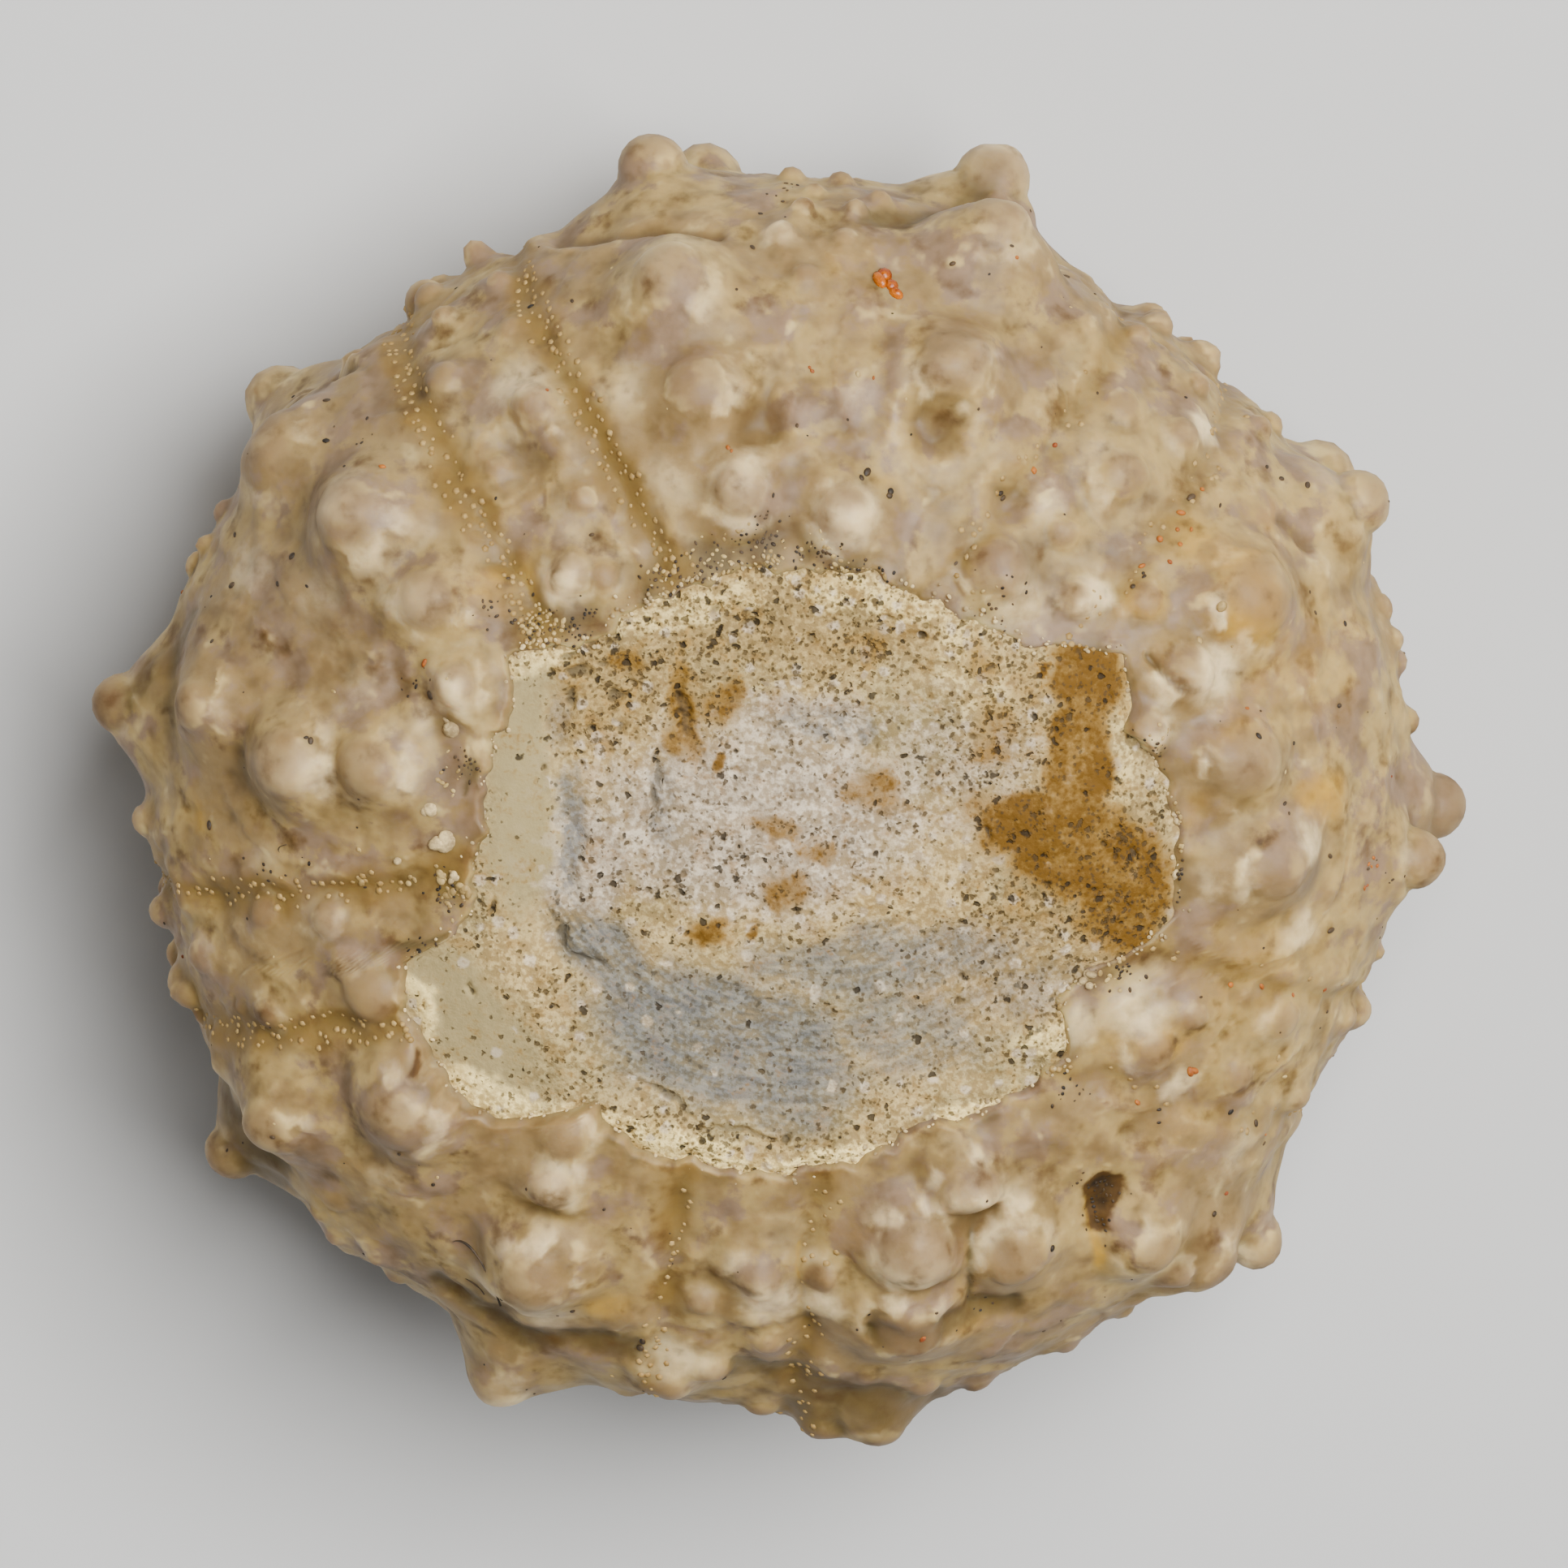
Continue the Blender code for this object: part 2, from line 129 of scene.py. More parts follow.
@dataclass(frozen=True)
class Layer:
    """A layer of fractal noise."""

    size: float  # how far apart its largest lumps are
    octaves: int
    seed: float  # shifts it, so that two layers differ
    share: float = 1.0

    def at(self, points: np.ndarray) -> np.ndarray:
        """One value a point, mostly between minus and plus its share."""
        scaled = (points / self.size + self.seed).tolist()
        return self.share * np.array([noise.fractal(place, 1.0, 2.0, self.octaves) for place in scaled])


@dataclass(frozen=True)
class Sight:
    """The line of sight, tipped from the vertical towards +Y, with +Y upwards in the view."""

    tilt: float = math.radians(15.0)
    grazing: float = 0.02  # a surface that faces the eye less than this counts as hidden

    def right(self) -> np.ndarray:
        """Unit vector to the right of the view."""
        return np.array((1.0, 0.0, 0.0))

    def up(self) -> np.ndarray:
        """Unit vector upwards in the view."""
        return np.array((0.0, math.cos(self.tilt), -math.sin(self.tilt)))

    def toward(self) -> np.ndarray:
        """Unit vector from the fossil to the eye."""
        return np.array((0.0, math.sin(self.tilt), math.cos(self.tilt)))

    def foot(self, points: np.ndarray, normals: np.ndarray, across: float, above: float) -> np.ndarray:
        """The point of a surface that is seen at a place.

        Args:
            points: The surface's points, from the middle of the ambitus.
            normals: Their outward directions.
            across: Distance to the right, in metres.
            above: Distance upwards, in metres.

        Returns:
            The nearest seen point.
        """
        apart = (points @ self.right() - across) ** 2 + (points @ self.up() - above) ** 2
        hidden = normals @ self.toward() < self.grazing
        return points[np.argmin(apart + hidden)]


@dataclass(frozen=True)
class Body:
    """The test without its relief: an oblate body, flatter on the mouth side, leaning to one side."""

    radius: float = 9.06 * MM
    oral_height: float = 4.9 * MM
    aboral_height: float = 6.2 * MM
    oral_power: float = 2.25
    aboral_power: float = 2.1
    rest_depth: float = 5.8 * MM  # from the ambitus down to the flat worn apex
    lean: float = 0.16 * MM
    lean_azimuth: float = math.radians(235.0)
    swell: float = 0.07 * MM  # of the plates between two bands
    swell_azimuth: float = math.radians(85.0)
    inset: float = 0.0  # how far a wall lies inside

    def reach(self, azimuth: np.ndarray, colatitude: np.ndarray) -> np.ndarray:
        """Distance from the middle of the ambitus to the surface."""
        across, along = np.abs(np.sin(colatitude)), np.cos(colatitude)
        oral = along >= 0.0
        height = np.where(oral, self.oral_height, self.aboral_height) - self.inset
        power = np.where(oral, self.oral_power, self.aboral_power)
        level = (across / (self.radius - self.inset)) ** power + (np.abs(along) / height) ** power
        lean = self.lean * np.cos(azimuth - self.lean_azimuth)
        plates = self.swell * np.cos(5.0 * (azimuth - self.swell_azimuth))
        return level ** (-1.0 / power) + (plates + lean) * across**3

    def points(self, azimuth: np.ndarray, colatitude: np.ndarray) -> np.ndarray:
        """Points on the surface, from the middle of the ambitus."""
        reach = self.reach(azimuth, colatitude)
        flat = reach * np.sin(colatitude)
        up = reach * np.cos(colatitude)
        return np.stack((flat * np.cos(azimuth), flat * np.sin(azimuth), up), axis=-1)

    def normals(self, azimuth: np.ndarray, colatitude: np.ndarray) -> np.ndarray:
        """Outward directions at those points."""
        small = 1e-3
        down = self.points(azimuth, colatitude + small) - self.points(azimuth, colatitude - small)
        around = np.stack((-np.sin(azimuth), np.cos(azimuth), np.zeros_like(azimuth)), axis=-1)
        outward = np.cross(down, around)
        return outward / np.linalg.norm(outward, axis=-1, keepdims=True)

    def oral_level(self, radius: np.ndarray) -> np.ndarray:
        """Height above the ambitus of the mouth side at a distance from the axis."""
        share = np.clip(radius / self.radius, 0.0, 0.999)
        return self.oral_height * (1.0 - share**self.oral_power) ** (1.0 / self.oral_power)


@dataclass(frozen=True)
class Mouth:
    """The broken edge of the mouth: an azimuth in degrees and a radius in millimetres for each bend."""

    edge: tuple[tuple[float, float], ...] = (
        (3, 5.80), (12, 5.70), (22, 5.50), (32, 5.85), (41, 5.10), (52, 4.62), (70, 4.62), (85, 4.55),
        (106, 4.50), (122, 4.40), (132, 4.52), (140, 5.05), (147, 4.70), (160, 4.50), (176, 4.40),
        (188, 4.55), (192, 4.95), (195, 5.70), (205, 5.88), (219, 5.86), (225, 5.35), (232, 4.50),
        (242, 4.66), (262, 4.56), (278, 4.52), (296, 4.34), (307, 4.56), (319, 4.95), (326, 4.98),
        (333, 4.50), (341, 4.72), (348, 5.50), (355, 5.76),
    )  # fmt: skip

    # How many chips of a kind there are, and how deep they go
    chips: tuple[tuple[float, float], ...] = ((17, 0.045), (31, 0.035), (53, 0.03), (89, 0.02))

    def radius(self, azimuth: np.ndarray) -> np.ndarray:
        """Radius of the broken edge at each azimuth, finely chipped."""
        turns, radii = zip(*self.edge)
        chipped = sum(depth * np.sin(count * azimuth + count) for count, depth in self.chips)
        return (np.interp(np.degrees(azimuth) % 360.0, turns, radii, period=360.0) + chipped) * MM


@dataclass(frozen=True)
class Tubercle:
    """A spine boss: a low cone with a smooth ball on it, where the spine was hinged."""

    azimuth: float
    colatitude: float
    cone: float  # radius of its foot
    rise: float  # of the cone
    ball: float  # radius where it meets the cone
    sweep: float  # from the ball's top to the cone, in radians


@dataclass(frozen=True)
class Ambulacra:
    """Five bands from the mouth to the apex, each between two pore zones."""

    azimuths: tuple[float, ...] = (49.0, 122.0, 193.5, 264.5, 335.5)
    clearness: tuple[float, ...] = (0.4, 1.0, 0.9, 0.6, 0.35)  # of the pore zones, which wear has blurred
    half_width: float = 1.06 * MM
    apex_share: float = 0.45
    depth: float = 0.10 * MM
    furrow_width: float = 0.2 * MM
    furrow_depth: float = 0.08 * MM

    def share(self, colatitude: np.ndarray) -> np.ndarray:
        """How much of its width a band keeps: all of it at the mouth side, less towards the apex."""
        past = np.clip((colatitude - math.pi / 2.0) / (math.pi / 2.0), 0.0, 1.0)
        return 1.0 - (1.0 - self.apex_share) * past

    def across(self, azimuth: np.ndarray, radius: np.ndarray) -> np.ndarray:
        """Distance from the middle line of the nearest band."""
        apart = np.full_like(azimuth, 1.0)
        for middle in self.azimuths:
            turn = (azimuth - math.radians(middle) + math.pi) % (2.0 * math.pi) - math.pi
            apart = np.minimum(apart, np.abs(turn) * radius)
        return apart

    def clear(self, azimuth: np.ndarray) -> np.ndarray:
        """How clear the pore zones are at each azimuth."""
        return np.interp(np.degrees(azimuth) % 360.0, self.azimuths, self.clearness, period=360.0)

    def relief(self, across: np.ndarray, width: np.ndarray) -> np.ndarray:
        """Depth of the bands and of their pore furrows, as a height below zero."""
        band = smooth_step((width + self.furrow_width - across) / (2.0 * self.furrow_width))
        furrow = np.exp(-(((across - width) / self.furrow_width) ** 2))
        return -self.depth * band - self.furrow_depth * furrow


@dataclass(frozen=True)
class Tubercles:
    """Where the spine bosses are, with their sizes in millimetres."""

    # Azimuth, colatitude, the radius of the cone's foot, its rise and the ball's radius
    big: tuple[tuple[float, ...], ...] = (
        # Towards +Y
        (96, 54, 0.95, 0.20, 0.42), (100, 64, 1.10, 0.26, 0.48), (101, 74, 1.40, 0.42, 0.56),
        (101.5, 94, 1.60, 0.38, 0.48), (80, 52, 0.90, 0.18, 0.44), (71, 68, 1.30, 0.40, 0.56),
        (70.5, 83, 1.45, 0.56, 0.50), (71, 97, 1.45, 0.46, 0.52),
        # Towards -X and +Y
        (149, 52, 0.75, 0.20, 0.36), (142, 59, 1.0, 0.26, 0.48), (141, 69, 1.30, 0.42, 0.58),
        (165.5, 56.5, 1.1, 0.28, 0.52), (168.5, 64, 1.2, 0.40, 0.55), (167, 75, 1.2, 0.30, 0.40),
        (171.5, 88, 1.50, 0.50, 0.42),
        # Towards -X and -Y
        (214, 60, 1.20, 0.34, 0.58), (210, 73, 1.35, 0.38, 0.50), (213.5, 87, 1.50, 0.36, 0.40),
        (232, 49, 0.75, 0.16, 0.36), (235, 54, 0.90, 0.22, 0.40), (240, 63, 1.30, 0.42, 0.58),
        (244, 83, 1.50, 0.42, 0.52), (258.5, 74, 0.90, 0.20, 0.40),
        # Towards -Y and +X
        (300, 51.5, 0.95, 0.22, 0.48), (289, 55.5, 1.2, 0.38, 0.60), (284.5, 64, 1.4, 0.44, 0.54),
        (279, 82, 1.40, 0.50, 0.34), (273.5, 82, 1.1, 0.28, 0.36), (300, 61, 1.2, 0.34, 0.50),
        (312, 70, 1.2, 0.34, 0.44), (313.5, 79, 1.30, 0.40, 0.48), (316.5, 86, 1.40, 0.40, 0.40),
        # Towards +X
        (21.5, 54, 0.65, 0.16, 0.30), (26, 60, 0.95, 0.24, 0.44), (29.5, 69, 1.40, 0.40, 0.66),
        (28, 88, 1.50, 0.50, 0.45), (13, 62, 1.2, 0.26, 0.60), (359, 64, 1.20, 0.34, 0.50),
        (355.5, 84, 1.25, 0.30, 0.43), (358.5, 91, 1.50, 0.50, 0.46),
    )  # fmt: skip
    # Azimuth, colatitude and the ball's radius
    small: tuple[tuple[float, ...], ...] = (
        (117.5, 85, 0.20), (123.5, 84, 0.20), (118, 77.5, 0.20), (126, 76, 0.30), (118.5, 68, 0.40),
        (125.5, 65, 0.22), (125, 52, 0.34), (120.5, 50, 0.24), (118, 58, 0.22), (54, 84, 0.22),
        (46.5, 84, 0.22), (39, 86, 0.20), (52.5, 74, 0.30), (45.5, 76, 0.30), (48.5, 68, 0.42),
        (42.5, 56, 0.30), (36.5, 61, 0.30), (55, 53, 0.50), (50, 60, 0.26), (193, 77.5, 0.30),
        (187.5, 68, 0.28), (188, 61, 0.30), (194, 60, 0.30), (198.5, 58.5, 0.45), (199, 70, 0.28),
        (187, 79, 0.24), (198, 84, 0.26), (332, 57.5, 0.38), (340, 70, 0.34), (332.5, 68, 0.28),
        (338.5, 60, 0.24), (331, 79, 0.26), (339, 83, 0.26), (267, 58, 0.40), (275, 58, 0.30),
        (263, 71.5, 0.32), (268.5, 67, 0.24), (260, 62, 0.24), (268, 80, 0.26), (143.5, 83, 0.64),
        (310.5, 75, 0.34), (284, 76.5, 0.26),
        # Round the outline
        (89, 93, 0.20), (87, 88, 0.16), (84.5, 93, 0.20), (83, 84.5, 0.20), (81, 88, 0.18), (88, 84, 0.18),
        (90, 80, 0.24), (87.5, 75, 0.22), (84, 80, 0.18), (51.5, 95, 0.22), (45, 95, 0.20), (37, 94, 0.20),
        (17.5, 91, 0.20), (14.5, 90, 0.18), (12, 91, 0.20), (7, 89, 0.20), (158, 90, 0.22),
        (155.5, 88, 0.16), (152.5, 90, 0.20), (134, 93, 0.20), (126, 95, 0.34), (119.5, 96, 0.18),
        (181.5, 86, 0.24), (190.5, 87, 0.26), (197, 86, 0.30), (200, 84, 0.16), (221, 79, 0.16),
        (224, 80, 0.16), (227.5, 77, 0.16), (231, 82, 0.18), (288.5, 82, 0.24), (303.5, 83, 0.20),
        (305.5, 79, 0.18), (297.5, 82, 0.16), (339.5, 86, 0.30), (345.5, 86, 0.14),
    )  # fmt: skip
    apex_columns: tuple[float, ...] = (71, 97.5, 144.5, 171, 213, 244, 282, 315, 27.5, 357)
    # Colatitude and size, as a share of a full one, of each boss in a column towards the apex
    apex_steps: tuple[tuple[float, float], ...] = (
        (106, 1.0), (120, 0.82), (132, 0.62), (142, 0.45), (150.5, 0.3),
    )  # fmt: skip
    apex_stagger: float = 4.0  # how much lower every second column is
    full_cone: float = 1.45 * MM
    full_rise: float = 0.50 * MM
    full_ball: float = 0.50 * MM
    ball_power: float = 0.8  # smaller bosses keep more of their ball
    worn_sweep: float = math.radians(60.0)
    fresh_sweep: float = math.radians(98.0)
    small_worn_sweep: float = math.radians(55.0)
    small_fresh_sweep: float = math.radians(80.0)
    worn_above: float = 84.0
    small_first: float = 92.0
    small_last: float = 152.0
    small_step: float = 7.5
    small_offset: float = 0.45 * MM
    small_ball: float = 0.26 * MM
    small_cone: float = 2.0  # of the ball's radius, as is its rise
    small_rise: float = 0.3

    def place(self, azimuth: float, colatitude: float, cone: float, rise: float, ball: float) -> Tubercle:
        """A big tubercle, worn lower on the mouth side."""
        sweep = self.worn_sweep if colatitude < self.worn_above else self.fresh_sweep
        return Tubercle(azimuth, colatitude, cone, rise, ball, sweep)

    def place_small(self, azimuth: float, colatitude: float, ball: float) -> Tubercle:
        """A small tubercle of an ambulacrum."""
        sweep = self.small_worn_sweep if colatitude < self.worn_above else self.small_fresh_sweep
        return Tubercle(azimuth, colatitude, self.small_cone * ball, self.small_rise * ball, ball, sweep)

    def big_ones(self) -> list[Tubercle]:
        """The big tubercles, from the mouth down to the apex."""
        found = [self.place(a, c, cone * MM, rise * MM, ball * MM) for a, c, cone, rise, ball in self.big]
        for index, azimuth in enumerate(self.apex_columns):
            lower = self.apex_stagger * (index % 2)
            for colatitude, size in self.apex_steps:
                cone, rise = self.full_cone * size, self.full_rise * size
                ball = self.full_ball * size**self.ball_power
                found.append(self.place(azimuth, colatitude + lower, cone, rise, ball))
        return found

    def small_ones(self, ambulacra: Ambulacra, body: Body) -> list[Tubercle]:
        """The small tubercles: those listed, and two columns in each band past the ambitus."""
        found = [self.place_small(a, c, ball * MM) for a, c, ball in self.small]
        for middle in ambulacra.azimuths:
            colatitude, side = self.small_first, 1.0
            while colatitude < self.small_last:
                share = float(ambulacra.share(np.array(math.radians(colatitude))))
                radius = body.radius * math.sin(math.radians(colatitude))
                offset = math.degrees(side * self.small_offset * share / radius)
                found.append(self.place_small(middle + offset, colatitude, self.small_ball * share))
                colatitude += self.small_step / 2.0
                side = -side
        return found


# --------------------------------------------------------------------------------------------------
# Meshes under work
# --------------------------------------------------------------------------------------------------


class Skin:
    """A closed mesh under work: a ball whose directions are turned into points, and what is painted on it."""

    def __init__(self, name: str, detail: int, fine: Callable[[Vector], bool]) -> None:
        """Makes the ball.

        Args:
            name: Name of the piece.
            detail: Subdivisions of the ball.
            fine: Says of a direction whether the ball is split once more there.
        """
        ball = bmesh.new()
        bmesh.ops.create_icosphere(ball, subdivisions=detail, radius=1.0)
        chosen = [edge for edge in ball.edges if fine(edge.verts[0].co) and fine(edge.verts[1].co)]
        bmesh.ops.subdivide_edges(ball, edges=chosen, cuts=1, use_grid_fill=True)
        bmesh.ops.triangulate(ball, faces=[face for face in ball.faces if len(face.verts) > 3])
        self.mesh = bpy.data.meshes.new(name)
        ball.to_mesh(self.mesh)
        ball.free()
        self.direction = self.read()
        self.direction /= np.linalg.norm(self.direction, axis=1, keepdims=True)
        self.azimuth = np.arctan2(self.direction[:, 1], self.direction[:, 0])
        self.polar = np.arccos(np.clip(self.direction[:, 2], -1.0, 1.0))
        ends = np.empty(len(self.mesh.edges) * 2, np.int64)
        self.mesh.edges.foreach_get("vertices", ends)
        self.ends = ends.reshape(-1, 2)
        self.near = np.bincount(ends, minlength=len(self.direction))

    def read(self) -> np.ndarray:
        """The mesh's points, one a row."""
        flat = np.empty(len(self.mesh.vertices) * 3, np.float32)
        self.mesh.vertices.foreach_get("co", flat)
        return flat.reshape(-1, 3).astype(np.float64)

    def write(self, points: np.ndarray) -> None:
        """Puts the points into the mesh."""
        self.mesh.vertices.foreach_set("co", points.astype(np.float32).ravel())
        self.mesh.update()

    def normals(self) -> np.ndarray:
        """The mesh's own outward directions, one a row."""
        flat = np.empty(len(self.mesh.vertices) * 3, np.float32)
        self.mesh.vertices.foreach_get("normal", flat)
        return flat.reshape(-1, 3).astype(np.float64)

    def blur(self, values: np.ndarray, times: int) -> np.ndarray:
        """Averages values with those of the neighbouring points, several times over."""
        first, second = self.ends[:, 0], self.ends[:, 1]
        for _ in range(times):
            total = np.bincount(first, values[second], len(values))
            total += np.bincount(second, values[first], len(values))
            values = 0.5 * (values + total / self.near)
        return values

    def paint(self, name: str, values: np.ndarray) -> None:
        """Keeps one value a point as an attribute that a material can read."""
        attribute = self.mesh.attributes.new(name, "FLOAT", "POINT")
        attribute.data.foreach_set("value", np.clip(values, 0.0, 1.0).astype(np.float32))


def dress(mesh: bpy.types.Mesh, finish: bpy.types.Material) -> bpy.types.Object:
    """Makes a piece of a mesh.

    Args:
        mesh: The finished mesh, in place.
        finish: Its material.

    Returns:
        The object, riding on the fossil.
    """
    piece = bpy.data.objects.new(mesh.name, mesh)
    bpy.context.scene.collection.objects.link(piece)
    mesh.materials.append(finish)
    mesh.shade_smooth()
    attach(piece, BODY)
    LOG.info("%s: %d triangles", piece.name, len(mesh.polygons))
    return piece


class Scatter:
    """Small closed lumps joined into one mesh, each a copy of one lump that is moved, turned and scaled."""

    def __init__(self, name: str, detail: int, seed: int) -> None:
        """Makes the lump that is copied.

        Args:
            name: Name of the piece.
            detail: Subdivisions of the lump.
            seed: Of the chance by which the lumps are strewn.
        """
        self.name = name
        self.chance = random.Random(seed)
        self.cluster = bmesh.new()
        lump = bmesh.new()
        bmesh.ops.create_icosphere(lump, subdivisions=detail, radius=1.0)
        self.lump = bpy.data.meshes.new(name + "_lump")
        lump.to_mesh(self.lump)
        lump.free()

    def add(self, place: Vector, outward: Vector, size: Vector, turn: float) -> None:
        """Adds one lump.

        Args:
            place: Its middle.
            outward: The direction its own Z points to.
            size: Half its length, width and height.
            turn: How far it is turned about that direction.
        """
        spin = outward.to_track_quat("Z", "Y") @ Quaternion((0.0, 0.0, 1.0), turn)
        matrix = Matrix.LocRotScale(place, spin, size)
        self.lump.transform(matrix)
        self.cluster.from_mesh(self.lump)
        self.lump.transform(matrix.inverted())

    def finish(self, finish: bpy.types.Material, slot: str) -> bpy.types.Object:
        """Joins the lumps and makes the piece."""
        bpy.data.meshes.remove(self.lump)
        return dress(joined(self.name, self.cluster), finish)


def joined(name: str, cluster: bmesh.types.BMesh) -> bpy.types.Mesh:
    """Turns the geometry under work into a mesh and frees it."""
    mesh = bpy.data.meshes.new(name)
    cluster.to_mesh(mesh)
    cluster.free()
    return mesh


# --------------------------------------------------------------------------------------------------
# The test
# --------------------------------------------------------------------------------------------------


@dataclass(frozen=True)
class Ledge:
    """A groove, a crack or a ridge along a line, as it is seen: across and above in millimetres."""

    line: tuple[tuple[float, float], ...]
    width: float
    rise: float
    pigment: Pigment
    strength: float

    def apart(self, u: np.ndarray, v: np.ndarray) -> np.ndarray:
        """Distance of each point from the line, in millimetres."""
        nearest = np.full(len(u), 9.0)
        for (from_u, from_v), (to_u, to_v) in zip(self.line, self.line[1:]):
            step_u, step_v = to_u - from_u, to_v - from_v
            share = ((u - from_u) * step_u + (v - from_v) * step_v) / (step_u**2 + step_v**2)
            share = np.clip(share, 0.0, 1.0)
            apart = np.hypot(u - from_u - share * step_u, v - from_v - share * step_v)
            nearest = np.minimum(nearest, apart)
        return nearest


@dataclass
class FossilTest:
    """The urchin's test: its relief, its paint, and the open cup behind the mouth."""

    stains: dict[Pigment, tuple[Spot, ...]]
    ledges: tuple[Ledge, ...]
    body: Body = field(default_factory=Body)
    mouth: Mouth = field(default_factory=Mouth)
    ambulacra: Ambulacra = field(default_factory=Ambulacra)
    tubercles: Tubercles = field(default_factory=Tubercles)
    sight: Sight = field(default_factory=Sight)
    detail: int = 7
    lip: float = math.radians(40.0)  # where the ball's polar angle turns from the inside to the outside
    coarse_below: float = -0.12  # height on the unit ball under which it isn't split once more
    past_lip: float = 0.02  # how far above the lip it is still split
    wall: float = 0.9 * MM
    bend: float = 0.2  # share of the inside on which the wall reaches its thickness
    waves: tuple[Layer, ...] = tuple(Layer(0.6 * MM, 3, seed) for seed in (101.0, 113.0, 127.0))
    wander_reach: float = 0.22 * MM  # how far the waves shift the marks' outlines
    spot_reach: float = 2.4  # of its radius, where a spot ends
    spot_fall: float = 0.8
    patches: Layer = Layer(0.9 * MM, 2, 31.0, 0.9)  # in the paint of the pore zones
    pore_paint: float = 1.1
    pore_width: float = 0.34 * MM
    pore_waver: float = 0.6  # of the waves
    lumps: tuple[Layer, ...] = (  # of the weathered surface; the shares are in millimetres
        Layer(1.6 * MM, 3, 3.0, 0.10),
        Layer(0.6 * MM, 2, 11.0, 0.045),
        Layer(0.2 * MM, 2, 19.0, 0.006),
    )
    knob_count: int = 520
    knob_radius: tuple[float, float] = (0.09 * MM, 0.26 * MM)
    knob_rise: tuple[float, float] = (0.10, 0.25)  # of its radius
    knob_belt: float = 0.6  # cosine of the colatitude up to which the knobs reach
    knob_seed: int = 33
    ledge_rise: float = 0.6  # what wear has left of the ledges
    ledge_waver: float = 0.25  # of the waves
    ring_rise: float = 0.06
    ring_width: float = 0.4  # of the ring's radius
    pit_radius: float = 0.7  # of the ring's radius
    cone_reach: float = 1.3  # of the cone's foot, what is looked at for a tubercle
    cone_power: float = 1.35  # how hollow a cone's flank is
    cone_top: float = 1.05  # of the ball's radius
    ball_paint: tuple[float, float] = (1.5, 1.1)  # how sharply the tan ends, and at which share of the ball
    halo: float = 0.8  # how white each ball's flank is on the side of the mouth: a pale ring round the ball, brightest as a painted highlight towards the mouth
    halo_at: float = 1.1  # of the ball's radius, as is its width
    halo_width: float = 0.5
    halo_behind: float = 0.25  # share of it on the far side of the ball
    halo_ball: float = 0.4 * MM  # from which ball on
    white_rise: float = 0.08 * MM
    brown_drop: float = 0.12 * MM
    rim_reach: float = 0.45 * MM  # over which hollows run out towards the broken edge
    dirt_reach: float = 0.3 * MM  # of the dirt along that edge
    broad_relief: tuple[int, float] = (60, 0.16 * MM)  # how often it is blurred for comparison, and its size
    close_relief: tuple[int, float] = (8, 0.03 * MM)
    # Craters where a ball has broken off: across, above, the ring's radius, the pit's depth
    rings: tuple[Spot, ...] = (
        (2.2, 5.25, 0.58, 0.17), (-0.35, 5.25, 0.55, 0.16), (-3.8, 4.85, 0.62, 0.07),
        (3.3, 4.3, 0.5, 0.08),
    )  # fmt: skip
    # Broad dents: azimuth, colatitude, radius, depth
    dents: tuple[Spot, ...] = (
        (60, 95, 1.2, 0.14), (113, 100, 1.0, 0.12), (132, 96, 1.0, 0.18), (155, 95, 1.3, 0.17),
        (234, 84, 1.1, 0.26), (220, 86, 0.8, 0.08), (325, 85, 0.8, 0.08), (298, 84, 1.4, 0.08),
    )  # fmt: skip
    # The hole beside the mouth: across, above, radius, depth
    hole: tuple[Spot, ...] = (
        (4.70, -5.80, 0.34, 0.25), (4.62, -6.00, 0.30, 0.20), (4.56, -6.25, 0.27, 0.15),
        (4.56, -6.55, 0.22, 0.10),
    )  # fmt: skip
    hole_waver: float = 0.7  # of the waves
    hole_shade: tuple[float, float] = (0.03, 0.2)  # depth in the hole where its painted shade starts, and over which it grows

    def build(self, finish: bpy.types.Material) -> bpy.types.Object:
        """Makes the test.

        Args:
            finish: Its material.

        Returns:
            The piece.
        """
        top = math.cos(self.lip) + self.past_lip
        self.skin = Skin("test_surface", self.detail, lambda way: self.coarse_below < way.z < top)
        azimuth, colatitude, inside = self.unfold()
        self.plain = self.body.points(azimuth, colatitude)
        self.plain_normals = self.body.normals(azimuth, colatitude)
        self.facing = self.plain_normals @ self.sight.toward()
        self.wander = self.wander_reach * np.stack([wave.at(self.plain) for wave in self.waves], axis=-1)
        across = self.ambulacra.across(azimuth, np.hypot(self.plain[:, 0], self.plain[:, 1]))
        width = self.ambulacra.half_width * self.ambulacra.share(colatitude)
        self.painted = {pigment: self.spots(self.stains.get(pigment, ())) for pigment in Pigment}
        self.painted[Pigment.PORE] = self.pore_zones(across, width)
        cones, moves, balls = self.raise_tubercles()
        height = cones + self.ambulacra.relief(across, width) + self.craters()
        height = height + MM * sum(layer.at(self.plain) for layer in self.lumps) + self.dips()
        height += self.knobs() + self.cut_ledges()
        white, brown = self.painted[Pigment.WHITE], self.painted[Pigment.BROWN]
        height += self.white_rise * white - self.brown_drop * brown
        height = np.maximum(height, height * (1.0 - self.near_mouth(self.rim_reach)))
        sunk = self.holes()
        full = self.plain + self.plain_normals * (height + sunk)[:, None] + moves
        self.paint_relief(height + np.linalg.norm(moves, axis=1), balls, sunk)
        for pigment, values in self.painted.items():
            self.skin.paint(pigment.value, np.where(inside, 0.0, values))
        full = np.where(inside[:, None], self.inner_wall(azimuth), full)
        full[:, 2] = np.maximum(full[:, 2] + self.body.rest_depth, 0.0)
        self.place(full)
        return dress(self.skin.mesh, finish)

